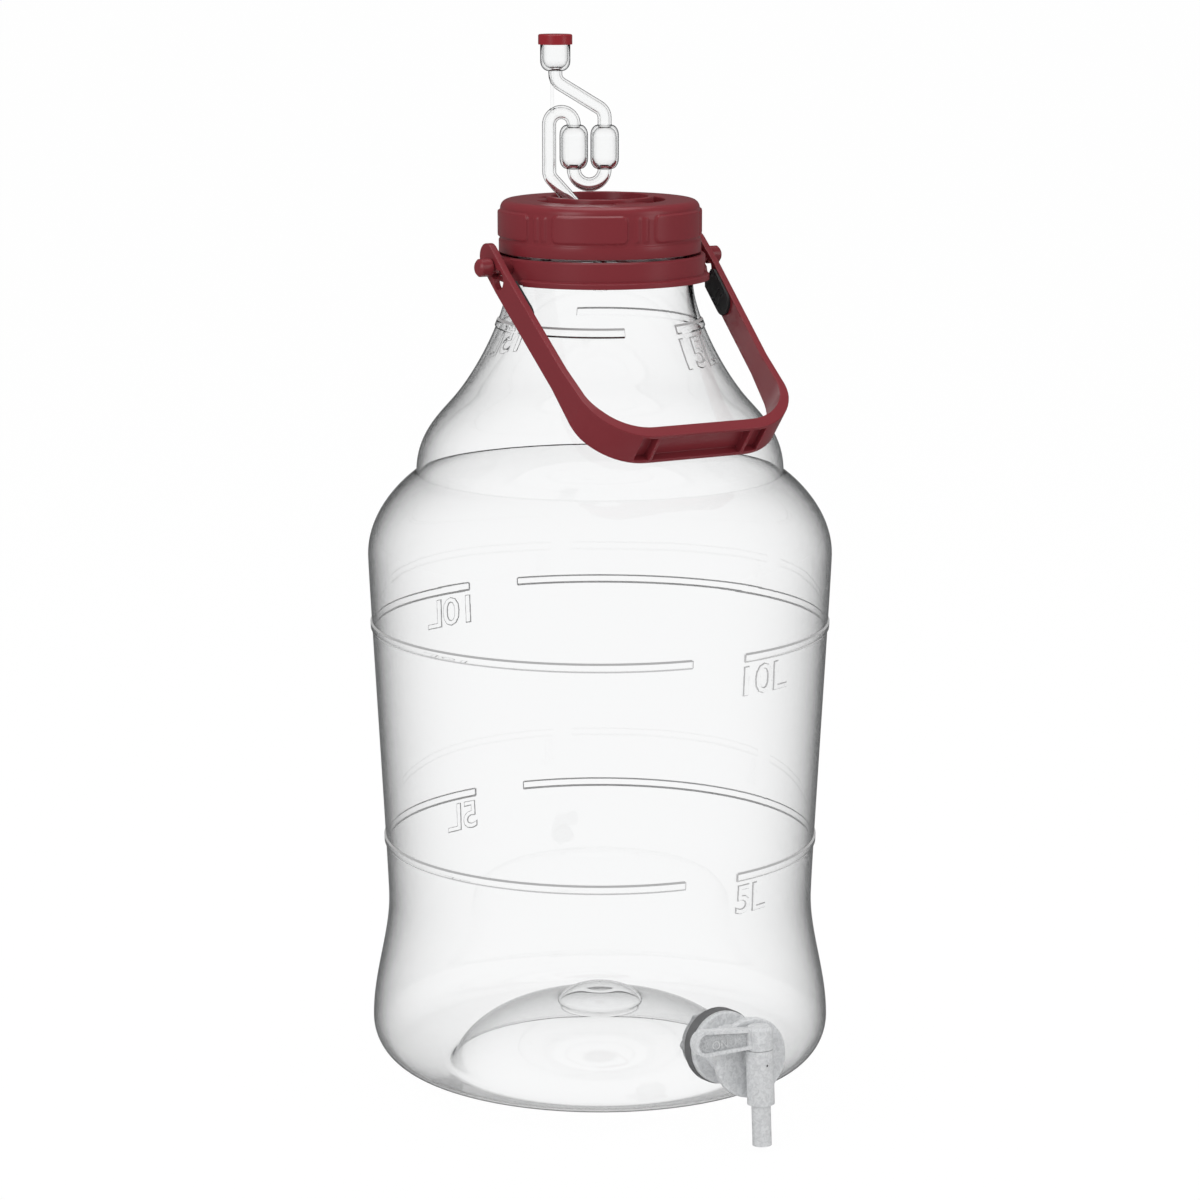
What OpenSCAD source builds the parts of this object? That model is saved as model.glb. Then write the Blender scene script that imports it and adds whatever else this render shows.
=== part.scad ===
// Clear plastic fermentation jar with a screw cap, bubbler airlock, carrying handle and drain tap.
// The origin is on the jar's axis in the plane it stands on. The tap points to -Y, the pegs to +X and -X.

/* [Jar] */
// Height of the neck rim above the standing plane
jar_h = 463.5; // [440:0.5:480]
// Wall thickness of the blown body
wall = 1.2; // [0.8:0.1:2]
// Wall thickness of the neck
neck_wall = 2.3; // [1.8:0.1:3]
// Outer radius of the flat standing ring
foot_r = 84.5; // [83:0.5:88]
// Width of the flat standing ring
foot_w = 4.5; // [3:0.5:8]
// Radius at which the sloping underside turns up into the heel
heel_r = 109; // [105:0.5:112]
// Height of that turn
heel_z = 8; // [6:0.5:10]
// Outer radius of the lower bulge
bulge_r = 122.6; // [120:0.1:126]
// Height of the lower bulge
bulge_z = 29; // [27:0.5:31]
// Outer radius of the waist
waist_r = 113.6; // [108:0.1:118]
// Height of the waist
waist_z = 95; // [88:0.5:105]
// How much wider the shoulder is than the bulge
shoulder_more = 0.1; // [-4:0.1:5]
// Distance of the shoulder's widest place below the rim
shoulder_drop = 181.5; // [174:0.5:190]
// Outer radius of the crease above the shoulder
crease_r = 96.8; // [92:0.1:100]
// Distance of the crease below the rim
crease_drop = 138; // [132:0.5:144]
// Radius where the upper dome bends out into the neck
flare_r = 78.5; // [74:0.1:82]
// Distance of that place below the rim
flare_drop = 101; // [95:0.5:106]
// Outer radius of the neck under the cap
neck_r = 48.6; // [47:0.1:50]
// Length of the straight neck below the rim
neck_len = 37.5; // [36:0.5:42]
// Height of the push-up under the jar
dome_h = 33.5; // [25:0.5:38]
// Radius of the round knob in the middle of the push-up
knob_r = 21; // [18:0.5:26]
// Height of that knob above the push-up
knob_h = 8; // [5:0.5:10]
// Radius of the knob's flat top
knob_top_r = 8.5; // [6:0.5:11]

/* [Graduation marks] */
// Height of the 5 litre band
mark_5_z = 128.1; // [115:0.1:140]
// Distance of the 10 litre band below the shoulder's widest place
mark_10_drop = 37.5; // [28:0.1:56]
// Distance of the 15 litre band below the rim
mark_15_drop = 59.1; // [52:0.1:66]
// Height of each band
mark_w = 4.6; // [3:0.1:6]
// How far a band stands proud of the wall
mark_proud = 0.8; // [0.5:0.1:1.2]
// Length of the break in each band, front and back
mark_gap = 30; // [24:0.5:36]

/* [Neck finish and cap thread] */
// Rise of the thread in one turn
thread_lead = 6; // [5:0.1:7]
// Turns of thread on the neck
neck_turns = 1.5; // [1:0.25:1.75]
// Turns of thread in the cap
cap_turns = 1.5; // [1:0.25:1.75]
// Height of a thread ridge at its root
thread_w = 2.2; // [1.8:0.1:2.4]
// Radius that the neck thread stands proud of the neck
thread_h = 1.8; // [1.5:0.1:1.9]
// Radial gap between each thread crest and the wall facing it
thread_gap = 0.5; // [0.4:0.1:0.7]
// Distance from the rim down to the top of the neck thread
thread_drop = 6; // [5:0.5:7]
// Radius that the carrying bead stands proud of the neck
bead_h = 2.6; // [2:0.1:3]
// Height of the carrying bead
bead_w = 2.4; // [2:0.1:3]

/* [Cap] */
// Thickness of the cap's skirt at its thinnest
skirt_wall = 1.4; // [1.2:0.1:2]
// How far the lower band of the skirt stands proud
band_proud = 0.5; // [0.3:0.1:0.8]
// How far the grip panels stand proud
panel_proud = 1.1; // [0.8:0.1:1.6]
// Number of grip panels
panels = 6; // [4:1:12]
// Width of the gap between two panels, in degrees
panel_gap_a = 16; // [10:1:24]
// Angle of the first gap from +X
panel_start_a = 24; // [0:1:59]
// Number of soft ribs in each gap
gap_ribs = 2; // [1:1:3]
// Width of each soft rib, in degrees
gap_rib_a = 2.6; // [1:0.1:3]
// Height of the grip panels
panel_h = 13.7; // [10:0.1:17]
// Height of the plain band below the panels
lower_band_h = 7.6; // [5:0.1:9]
// Height of the rounded top edge above the panels
cap_edge_h = 5.5; // [4.5:0.1:7]
// How far the top edge stands back from the grip panels
cap_edge_in = 2.1; // [1.6:0.1:2.6]
// Thickness of the cap's top
cap_top_t = 2.8; // [2.2:0.1:3]
// Outer radius of the trough in the top
trough_r = 34; // [32:0.5:38]
// Width of that trough
trough_w = 6; // [4.5:0.5:7]
// Depth of that trough
trough_d = 7.5; // [5:0.5:10]
// Number of bridges across the trough
bridges = 3; // [2:1:5]
// Width of each bridge, in degrees
bridge_a = 34; // [20:1:50]
// Inner radius of the well that holds the airlock
well_r = 25.2; // [24.8:0.1:26]
// Depth of the well below the cap's top
well_d = 23; // [21.5:0.5:24]
// Height of the well's collar above the cap's top
well_lip = 1.8; // [1:0.1:3]
// Thickness of the well's wall and floor
well_t = 2; // [1.6:0.1:2.4]
// Thickness of the sealing ring under the cap
seal_t = 2; // [1.5:0.1:3]

/* [Airlock] */
// Outer radius of the airlock's tube
tube_r = 3.6; // [3.3:0.1:3.8]
// Wall thickness of the airlock
tube_wall = 1.1; // [0.8:0.1:1.3]
// Outer radius of the two bulbs
bulb_r = 7.4; // [6.8:0.1:7.5]
// Length of each bulb
bulb_len = 23; // [20:0.5:24]
// Distance between the two bulbs' axes
bulb_step = 16; // [15.8:0.1:17]
// Distance from the jar's axis to the axis of the outer bulb
bulb_out = 2.4; // [1:0.1:4]
// Distance from the inner bulb's axis to the riser's axis
riser_step = 12.8; // [12:0.1:14]
// Height of the bulbs' lower ends above the cap's top
bulb_up = 15.5; // [14:0.1:18]
// Height of the lower knee of the riser above the cap's top
knee_up = 11.9; // [11:0.1:13]
// Height of the cup's lower end above the cap's top
cup_up = 66; // [64:0.5:70]
// Outer radius of the cup
cup_r = 7.8; // [7:0.1:8.2]
// Length of the cup, without its cone
cup_len = 12.8; // [10:0.1:15]
// Length of the cone under the cup
cup_cone = 4.4; // [3:0.1:6]
// Length of the stem below the top of the grommet
stem_len = 26; // [20:1:36]
// Turn of the airlock's plane about the jar's axis
airlock_turn = -30; // [-180:1:180]
// Height of the airlock's push-on cap
lid_h = 5.2; // [4:0.1:8]
// Wall thickness of that cap
lid_t = 1; // [0.8:0.1:1.4]
// How far the cap reaches down over the cup
lid_grip = 3.6; // [2:0.1:4]
// Number of vent holes in that cap
vents = 4; // [2:1:6]
// Thickness of the grommet's flanges
grommet_flange = 1.5; // [1:0.1:2]
// Outer radius of the grommet's flanges
grommet_r = 9; // [8:0.5:11]
// Radius of the hole in the well's floor
grommet_hole_r = 6.5; // [5.5:0.1:7]

/* [Collar and handle] */
// Gap between the cap's skirt and the collar
collar_gap = 1.1; // [0.6:0.1:2]
// Height of the collar
collar_h = 13.4; // [12:0.1:15]
// Outer radius of the collar's band
collar_r = 55; // [54.5:0.1:56]
// Outer radius of the collar's bottom flange
flange_r = 57.2; // [56.2:0.1:57.6]
// Height of that flange
flange_h = 3; // [2:0.1:4]
// Radius of the peg's shaft
peg_r = 3.3; // [2.8:0.1:3.6]
// Radius of the peg's head
peg_head_r = 4.65; // [4.4:0.05:5]
// Length of the peg's head
peg_head_len = 7.8; // [6:0.1:9]
// Height of the peg's axis above the underside of the collar
peg_up = 9; // [8.4:0.1:9.6]
// Distance from the jar's axis to the inner face of each handle arm
arm_x = 60.6; // [60.2:0.1:64]
// Thickness of the handle's arms
arm_t = 3.8; // [3:0.1:5]
// Width of the handle's arms
arm_w = 14.4; // [13:0.1:17]
// Width of the grip
grip_w = 20; // [18:0.1:25]
// Distance from the peg axis to the outside of the grip
handle_reach = 132; // [129:0.5:140]
// Depth of the grip's channel section
grip_t = 6.5; // [5.5:0.1:8]
// Thickness of the channel's web and edges
grip_wall = 2; // [1.6:0.1:2.6]
// Distance between the grip's two cross ribs
rib_span = 54; // [44:1:56]
// Outer radius of the handle's lower bends
bend_r = 32; // [28:0.5:40]
// How much closer to the jar's axis an arm's lower end is than its upper end
arm_taper = 4; // [0:0.1:6]
// How far the arms reach beyond the peg axis
arm_over = 14.5; // [13:0.1:16]
// Distance from the peg axis to the keyhole's entry
key_drop = 9.4; // [9:0.1:11]
// Length of each arm's pad
pad_len = 27; // [22:0.5:34]
// Thickness of the pads
pad_t = 1.6; // [1:0.1:2]

/* [Tap] */
// Height of the tap's axis at the wall
tap_z = 43.2; // [40:0.1:50]
// Angle by which the tap's axis stays below square to the wall
tap_droop = 3.85; // [3:0.05:6]
// Radius of the hole in the wall
tap_hole_r = 9.8; // [9:0.1:10.5]
// Radius of the threaded shank
shank_r = 9.5; // [8:0.1:9.6]
// Radius of the tap's flange
tap_flange_r = 18.8; // [18:0.1:22]
// Thickness of the tap's flange
tap_flange_t = 3.2; // [2.5:0.1:4]
// Radius of the neck between the flange and the front disc
tap_neck_r = 12.5; // [11:0.5:15]
// Radius of the front disc
disc_r = 20.5; // [18:0.5:22]
// Thickness of the front disc
disc_t = 3.4; // [2.5:0.1:4]
// Distance from the wall to the barrel's axis
barrel_out = 40; // [36:0.5:44]
// Outer radius of the barrel
barrel_r = 7; // [6.8:0.1:7.6]
// Height of the barrel above the tap's axis
barrel_up = 6.2; // [5.4:0.1:8]
// Depth of the barrel below the tap's axis
barrel_down = 22; // [18:0.5:24]
// Radius of the plug that turns in the barrel
plug_r = 5.5; // [5.3:0.1:5.7]
// Running gap of the plug in the barrel
plug_gap = 0.08; // [0.04:0.01:0.12]
// Radius of the waterway
way_r = 3.5; // [2.8:0.1:3.7]
// Length of the spout below the barrel
spout_len = 21.5; // [15:0.5:22]
// Outer radius of the spout
spout_r = 4.9; // [4.4:0.1:4.9]
// Height of the lever's hub
hub_h = 12; // [10.6:0.1:13]
// Length of the lever from the barrel's axis
lever_len = 39; // [32:0.5:45]
// Height of the lever's paddle at the hub
paddle_h = 9.5; // [8:0.1:10]
// Height of the paddle at its tip
paddle_tip_h = 13.4; // [11:0.1:15]
// Thickness of the paddle
paddle_t = 6; // [4:0.1:8]
// Depth of the paddle's recess
recess_d = 1.6; // [1:0.1:2]
// Radius of the outer gasket
gasket_r = 19.4; // [17:0.1:21]
// Thickness of the outer gasket at its middle
gasket_out_t = 4.2; // [2.5:0.1:5]
// Radius of the inner gasket
gasket_in_r = 16; // [14:0.5:18]
// Thickness of the inner gasket at its middle
gasket_t = 2.6; // [2:0.1:3.5]
// Radius of the nut's corners
nut_r = 17; // [15:0.5:19]
// Thickness of the nut
nut_t = 7; // [5:0.5:9]

/* [Hidden] */
$fn = 96;

// Gap between faces that only touch on the real jar
seat = 0.05;
// Gap at which two bodies that move past each other stay apart
free = 0.4;
turn = 360;

jar_tint = [0.86, 0.9, 0.92, 0.35];
clear_tint = [0.93, 0.95, 0.96, 0.6];
burgundy = [0.5, 0.21, 0.24];
bright_red = [0.68, 0.18, 0.2];
tap_grey = [0.76, 0.77, 0.78];
nut_white = [0.9, 0.9, 0.9];
rubber_black = [0.13, 0.13, 0.13];
seal_white = [0.85, 0.85, 0.83];

// A cubic curve from a to d that leaves a towards b and reaches d from c
function curve(a, b, c, d, n) = [for (i = [0:n]) let (t = i / n, s = 1 - t)
    s * s * s * a + 3 * s * s * t * b + 3 * s * t * t * c + t * t * t * d];
function unit(v) = v / norm(v);
function left_of(v) = [-v[1], v[0]];
function ray(a) = [cos(a), sin(a)];
// The points of a list without its first
function rest_of(p) = [for (i = [1:len(p) - 1]) p[i]];
function swap(p) = [for (q = p) [q[1], q[0]]];
function back(p) = [for (i = [len(p) - 1:-1:0]) p[i]];
function part_of(p, i, k) = [for (j = [i:k]) p[j]];

// Jar outline, as radius and height
neck_z = jar_h - neck_len;
flare_z = jar_h - flare_drop;
crease_z = jar_h - crease_drop;
shoulder_z = jar_h - shoulder_drop;
shoulder_r = bulge_r + shoulder_more;
foot_in_r = foot_r - foot_w;
knob_z = dome_h + knob_h;
heel_a = atan2(heel_z, heel_r - foot_r);
crease_a = 145;
flare_a = 132;
base_line = concat([[0, knob_z], [knob_top_r, knob_z]],
    rest_of(curve([knob_top_r, knob_z], [knob_top_r + 6, knob_z], [knob_r, dome_h + knob_h / 2],
        [knob_r + 1, dome_h], 5)),
    rest_of(curve([knob_r + 1, dome_h], [(knob_r + foot_in_r) / 2, dome_h - 2], [foot_in_r - 7, dome_h / 2],
        [foot_in_r, 0], 10)),
    [[foot_r, 0]]);
heel_line = curve([heel_r, heel_z], [heel_r, heel_z] + 7 * ray(heel_a), [bulge_r, bulge_z - 11],
    [bulge_r, bulge_z], 10);
side_line = concat(
    rest_of(curve([bulge_r, bulge_z], [bulge_r, bulge_z + 22], [waist_r, waist_z - 22], [waist_r, waist_z], 12)),
    rest_of(curve([waist_r, waist_z], [waist_r, waist_z + 16], [shoulder_r, shoulder_z - 12],
        [shoulder_r, shoulder_z], 12)));
dome_line = concat(
    rest_of(curve([shoulder_r, shoulder_z], [shoulder_r, shoulder_z + 20],
        [crease_r, crease_z] - 13 * ray(crease_a), [crease_r, crease_z], 16)),
    rest_of(curve([crease_r, crease_z], [crease_r, crease_z + 18], [flare_r, flare_z] - 12 * ray(flare_a),
        [flare_r, flare_z], 14)));
neck_line = rest_of(curve([flare_r, flare_z], [flare_r, flare_z] + 22 * ray(flare_a), [neck_r, neck_z - 16],
    [neck_r, neck_z], 10));
body_line = concat(heel_line, side_line, dome_line, neck_line);
outer_line = concat(base_line, body_line, [[neck_r, jar_h]]);
outer_rows = swap(body_line);
// The bottle is one moulding. Its outline is cut at these points into four solids that meet face to face,
// so that each keeps its hollow open where other things touch it.
heel_i = len(base_line);
bulge_i = heel_i + len(heel_line) - 1;
shoulder_i = bulge_i + len(side_line);
flare_i = shoulder_i + len(dome_line);
rim_i = len(outer_line) - 1;
function outer_r(z) = lookup(z, outer_rows);
// The wall thickens from the flare up to the neck
function wall_at(p) = p[1] < flare_z ? wall : lookup(p[1], [[flare_z, wall], [neck_z, neck_wall]]);
function heading(p, i) = i == 0 ? [1, 0] : i == len(p) - 1 ? [0, 1]
    : unit(unit(p[i] - p[i - 1]) + unit(p[i + 1] - p[i]));
inner_line = [for (i = [0:len(outer_line) - 1]) let (q = outer_line[i] + wall_at(outer_line[i])
    * left_of(heading(outer_line, i))) [max(q[0], 0), q[1]]];
inner_rows = swap(part_of(inner_line, heel_i, rim_i));
function inner_r(z) = lookup(z, inner_rows);
mark_10_z = shoulder_z - mark_10_drop;
mark_15_z = jar_h - mark_15_drop;

// Neck, seal and cap
thread_r = neck_r + thread_h;
skirt_in_r = thread_r + thread_gap;
cap_thread_r = neck_r + thread_gap;
skirt_r = skirt_in_r + skirt_wall;
band_r = skirt_r + band_proud;
panel_r = skirt_r + panel_proud;
top_r = panel_r - cap_edge_in;
thread_top_z = jar_h - thread_drop;
shoulder_in_r = neck_r + 0.8;
shoulder_in_z = thread_top_z + 1.5;
seal_r = shoulder_in_r - free;
seal_in_r = neck_r - neck_wall;
cap_in_z = jar_h + seal_t;
cap_z = cap_in_z + cap_top_t;
panel_top_z = cap_z - cap_edge_h;
panel_z = panel_top_z - panel_h;
skirt_z = panel_z - lower_band_h;
edge_r = 3.6;
trough_in_r = trough_r - trough_w;
trough_z = cap_z - trough_d;
floor_z = cap_z - well_d;
lip_z = cap_z + well_lip;
well_out_r = trough_in_r;
neck_thread_z = thread_top_z - neck_turns * thread_lead - thread_w;
cap_thread_z = neck_thread_z - thread_lead / 2;
thread_steps = 36;

// Grommet and airlock, in the airlock's own plane
grommet_top_z = floor_z + grommet_flange + seat;
stem_x = 0;
bend_tube_r = 6.2;
outer_bulb_x = bulb_out;
inner_bulb_x = bulb_out - bulb_step;
riser_x = inner_bulb_x - riser_step;
bulb_z = cap_z + bulb_up;
bulb_top_z = bulb_z + bulb_len;
knee_z = cap_z + knee_up;
stem_knee_z = grommet_top_z + bend_tube_r / 2 + 1;
cup_z = cap_z + cup_up;
cup_x = riser_x + 3.3;
top_knee_z = cup_z - 5;
low_knee_z = bulb_top_z + 7;
cup_base_z = cup_z + cup_cone;
cup_top_z = cup_base_z + cup_len;
stem_end_z = grommet_top_z - stem_len;
web_t = 1.2;
// How far a tube laps into a bend, and how much wider the bend is, so that neither shows through
lap = 0.3;
swell = 0.03;

// Collar
collar_top_z = skirt_z - collar_gap;
collar_z = collar_top_z - collar_h;
peg_z = collar_z + peg_up;
bead_z = collar_z + flange_h + 0.3;
bead_r = neck_r + bead_h;
collar_bore_r = neck_r + 0.6;
groove_r = bead_r + free;
groove_top_z = bead_z + bead_w + 0.3;
upper_bore_r = groove_r + 0.9;
peg_ring_r = upper_bore_r + 1.2;
arm_out_x = arm_x + arm_t;
head_x = arm_out_x + free;

// Handle, modelled hanging straight down from the peg axis
grip_in = handle_reach - grip_t;
pivot_r = peg_r + 0.1;
key_r = peg_head_r + 0.35;
pad_top = key_drop + key_r + 0.6;
pad_x = arm_x - pad_t;
taper_z = handle_reach - bend_r;
// The arms run straight down to this distance below the peg, then towards each other
slant_z = 12;
slant_len = grip_in - bend_r + arm_t - slant_z;
slant_a = atan2(arm_taper, slant_len);
// How far in front of the jar's axis, and how high, a point of the handle is at a lean of a degrees. The point
// is d below the peg and y nearer to the jar than the arm's middle.
function ahead(a, y, d) = d * sin(a) - y * cos(a);
function height(a, y, d) = peg_z - d * cos(a) - y * sin(a);
// The distance from the wall that such a point keeps, x to the side of the jar's axis
function wall_gap(a, x, y, d) = norm([x, ahead(a, y, d)]) - outer_r(height(a, y, d));
function grip_gap(a) = min([for (s = [0:4]) wall_gap(a, 0, grip_w / 2, grip_in + s * grip_t / 4)]);
function arm_in_x(d) = pad_x - arm_taper * max(0, d - slant_z) / slant_len;
function arm_gap(a) = min([for (s = [0:8]) let (d = s * taper_z / 8) wall_gap(a, arm_in_x(d), arm_w / 2, d)]);
function find_lean(a) = min(grip_gap(a), arm_gap(a)) > free ? a : find_lean(a + lean_step);
// The handle leans on the shoulder at the first angle that clears the wall
least_lean = 30;
lean_step = 0.05;
lean = find_lean(least_lean);

// Tap, along its own axis. The wall's slope is read over twice this height.
wall_gauge = 2;
tap_seat_r = outer_r(tap_z);
tap_slope = atan2(outer_r(tap_z - wall_gauge) - outer_r(tap_z + wall_gauge), 2 * wall_gauge);
tap_tilt = tap_slope - tap_droop;
bore_r = plug_r + plug_gap;
lever_gap = 0.3;
disc_out = barrel_out - barrel_r - lever_gap;
boss_r = barrel_up - 0.7;
shank_in = wall + gasket_t + nut_t + 4;
hub_z = barrel_up + lever_gap;
pip_r = 0.6;

module revolved(points) {
    rotate_extrude() polygon(points);
}

// A ring of rectangular section
module ring(r_in, r_out, z, h) {
    translate([0, 0, z]) difference() {
        cylinder(r = r_out, h = h);
        translate([0, 0, -1]) cylinder(r = r_in, h = h + 2);
    }
}

// A helical ridge of trapezoid section that climbs thread_lead in one turn
module helix(root_r, crest_r, z, turns) {
    n = ceil(turns * thread_steps);
    crest_w = thread_w * 0.45;
    lip = (thread_w - crest_w) / 2;
    // The corners run the same way round whether the ridge points out or in
    outward = [[root_r, 0], [crest_r, lip], [crest_r, thread_w - lip], [root_r, thread_w]];
    section = crest_r > root_r ? outward : back(outward);
    function end_scale(i) = min(1, 0.12 + i / 4, 0.12 + (n - i) / 4);
    points = [for (i = [0:n], q = section) let (a = i * turn * turns / n,
        r = root_r + (q[0] - root_r) * end_scale(i))
        [r * cos(a), r * sin(a), z + q[1] + thread_lead * a / turn]];
    sides = [for (i = [0:n - 1], k = [0:3]) let (a = 4 * i + k, b = 4 * i + (k + 1) % 4)
        each [[a, b, b + 4], [a, b + 4, a + 4]]];
    last = 4 * n;
    ends = [[3, 2, 1], [3, 1, 0], [last, last + 1, last + 2], [last, last + 2, last + 3]];
    polyhedron(points, concat(sides, ends));
}

// One arc of a graduation band, from the front break round to the back one
module mark(z) {
    half = asin(mark_gap / 2 / outer_r(z));
    z_low = z - mark_w / 2;
    z_high = z + mark_w / 2;
    for (side = [0, 180]) rotate([0, 0, side - 90 + half]) rotate_extrude(angle = 180 - 2 * half)
        polygon([[outer_r(z_low) - wall / 2, z_low], [outer_r(z_low) + mark_proud, z_low],
            [outer_r(z_high) + mark_proud, z_high], [outer_r(z_high) - wall / 2, z_high]]);
}

module at_tap() {
    translate([0, -tap_seat_r, tap_z]) rotate([90 - tap_tilt, 0, 0]) children();
}

// The bottle's wall between two points of its outline
module wall_from(i, k) {
    revolved(concat(part_of(outer_line, i, k), back(part_of(inner_line, i, k))));
}

module bottle_base() {
    color(jar_tint) wall_from(0, bulge_i);
}

module bottle_body() {
    color(jar_tint) difference() {
        union() {
            wall_from(bulge_i, shoulder_i);
            for (z = [mark_5_z, mark_10_z]) mark(z);
        }
        at_tap() translate([0, 0, -tap_flange_r]) cylinder(r = tap_hole_r, h = 2 * tap_flange_r);
    }
}

module bottle_shoulder() {
    color(jar_tint) wall_from(shoulder_i, flare_i);
}

module bottle_neck() {
    color(jar_tint) union() {
        wall_from(flare_i, rim_i);
        translate([0, 0, bead_z]) rotate_extrude() polygon([[neck_r - 1, 0], [bead_r, 0],
            [bead_r, bead_w - 0.8], [bead_r - 0.8, bead_w], [neck_r - 1, bead_w]]);
        helix(neck_r - 0.3, thread_r, neck_thread_z, neck_turns);
        mark(mark_15_z);
    }
}

module cap_seal() {
    color(seal_white) ring(seal_in_r, seal_r, jar_h, seal_t);
}

module cap_shell() {
    revolved(concat(
        [[skirt_in_r, skirt_z], [band_r, skirt_z], [band_r, panel_z], [skirt_r, panel_z + 0.5],
            [skirt_r, panel_top_z - 1], [top_r, panel_top_z]],
        [for (a = [0:15:90]) [top_r - edge_r, cap_z - edge_r] + edge_r * ray(a)],
        [[trough_r, cap_z], [trough_r, trough_z], [trough_in_r, trough_z], [trough_in_r, lip_z - 0.5],
            [trough_in_r - 0.5, lip_z], [well_r + 0.5, lip_z], [well_r, lip_z - 0.5], [well_r, floor_z],
            [grommet_hole_r, floor_z], [grommet_hole_r, floor_z - well_t], [well_out_r, floor_z - well_t],
            [well_out_r, trough_z - well_t], [trough_r + well_t, trough_z - well_t],
            [trough_r + well_t, cap_in_z], [shoulder_in_r, cap_in_z], [shoulder_in_r, shoulder_in_z + 1],
            [skirt_in_r, shoulder_in_z]]));
}

module sector(r_in, r_out, z, h, a, w) {
    rotate([0, 0, a - w / 2]) rotate_extrude(angle = w)
        translate([r_in, z]) square([r_out - r_in, h]);
}

module screw_cap() {
    pitch_a = turn / panels;
    color(burgundy) union() {
        cap_shell();
        helix(skirt_in_r + 0.3, cap_thread_r, cap_thread_z, cap_turns);
        for (i = [0:panels - 1]) sector(skirt_in_r + 0.5, panel_r, panel_z, panel_h - 1.2,
            panel_start_a + (i + 0.5) * pitch_a, pitch_a - panel_gap_a);
        for (i = [0:panels - 1], k = [1:gap_ribs])
            sector(skirt_in_r + 0.5, skirt_r + panel_proud / 2, panel_z + 1, panel_h - 2,
                panel_start_a + i * pitch_a + (k - (gap_ribs + 1) / 2) * panel_gap_a / (gap_ribs + 1),
                gap_rib_a);
        for (i = [0:bridges - 1]) sector(trough_in_r - 0.5, trough_r + 0.5, trough_z - well_t / 2,
            trough_d + well_t / 2, 30 + i * turn / bridges, bridge_a);
    }
}

module grommet() {
    bore = tube_r + seat;
    color(rubber_black) revolved([[bore, floor_z - well_t - grommet_flange - seat],
        [grommet_r - 1.5, floor_z - well_t - grommet_flange - seat], [grommet_r, floor_z - well_t - seat],
        [grommet_hole_r - seat, floor_z - well_t - seat], [grommet_hole_r - seat, floor_z + seat],
        [grommet_r, floor_z + seat], [grommet_r, grommet_top_z - 0.3], [grommet_r - 0.3, grommet_top_z],
        [bore, grommet_top_z]]);
}

// A straight run of tube from p to q, in the XY plane, that laps into what it meets at each end
module run(p, q, r) {
    d = q - p;
    start = p - lap * unit(d);
    translate([start[0], start[1], 0]) rotate([0, 0, atan2(d[1], d[0])]) rotate([0, 90, 0])
        cylinder(r = r, h = norm(d) + 2 * lap);
}

// A bend of tube about c that starts at angle a and turns through w degrees, a hair wider than the tube
module bend(c, radius, a, w, r) {
    translate([c[0], c[1], 0]) rotate([0, 0, a]) rotate_extrude(angle = w)
        translate([radius, 0]) circle(r = r + swell);
}

function knee_cut(a, b, c) = bend_tube_r * tan(abs(knee_turn(a, b, c)) / 2);
function knee_turn(a, b, c) = let (u = unit(b - a), v = unit(c - b)) atan2(cross(u, v), u * v);

// A knee at b between the runs from a and to c
module knee(a, b, c, r) {
    u = unit(b - a);
    w = knee_turn(a, b, c);
    side = sign(w);
    centre = b - knee_cut(a, b, c) * u + side * bend_tube_r * left_of(u);
    from = -side * left_of(u);
    start = atan2(from[1], from[0]);
    bend(centre, bend_tube_r, w > 0 ? start : start + w, abs(w), r);
}

// A jogged tube down from a through knees at b and c to d
module jog(a, b, c, d, r) {
    u = unit(c - b);
    run(a, b - knee_cut(a, b, c) * unit(b - a), r);
    knee(a, b, c, r);
    run(b + knee_cut(a, b, c) * u, c - knee_cut(b, c, d) * u, r);
    knee(b, c, d, r);
    run(c + knee_cut(b, c, d) * unit(d - c), d, r);
}

// A bulb on the axis at x, inset by d from its outer face
module bulb(x, d) {
    round_h = 5.5;
    neck = tube_r - d + 2 * swell;
    r = bulb_r - d;
    long = bulb_len + 2 * lap;
    side = [for (i = [0:6]) let (a = i * 15) [neck + (r - neck) * sin(a), d + round_h * (1 - cos(a))]];
    translate([x, 0, bulb_z - lap]) rotate_extrude() polygon(concat([[0, 0], [neck, 0]], side,
        [for (p = back(side)) [p[0], long - p[1]]], [[neck, long], [0, long]]));
}

// The airlock's passage, thick when r is the outer radius and narrow when it is the bore
module airlock_form(r, over) {
    dr = tube_r - r;
    rotate([90, 0, 0]) {
        jog([riser_x, bulb_top_z], [riser_x, knee_z], [stem_x, stem_knee_z], [stem_x, stem_end_z - over], r);
        bend([(riser_x + inner_bulb_x) / 2, bulb_top_z], riser_step / 2, 0, 180, r);
        bend([(inner_bulb_x + outer_bulb_x) / 2, bulb_z], bulb_step / 2, 180, 180, r);
        jog([cup_x, cup_z], [cup_x, top_knee_z], [outer_bulb_x, low_knee_z], [outer_bulb_x, bulb_top_z], r);
    }
    bulb(inner_bulb_x, dr);
    bulb(outer_bulb_x, dr);
    // The cup's cone starts higher inside, so its wall keeps its thickness
    translate([cup_x, 0, 0]) rotate_extrude() polygon([[0, cup_z - lap], [r + swell, cup_z - lap],
        [r + swell, cup_z + dr], [cup_r - dr, cup_base_z + dr], [cup_r - dr, cup_top_z + over],
        [0, cup_top_z + over]]);
}

module in_airlock_plane() {
    rotate([0, 0, airlock_turn]) children();
}

module airlock_body() {
    web_x = (riser_x + cup_x) / 2;
    web_low = bulb_top_z + riser_step / 2;
    color(clear_tint) in_airlock_plane() {
        difference() {
            union() {
                airlock_form(tube_r, 0);
                translate([web_x, -web_t / 2, web_low]) cube([web_t, web_t, cup_z - web_low]);
            }
            airlock_form(tube_r - tube_wall, 1);
        }
    }
}

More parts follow.
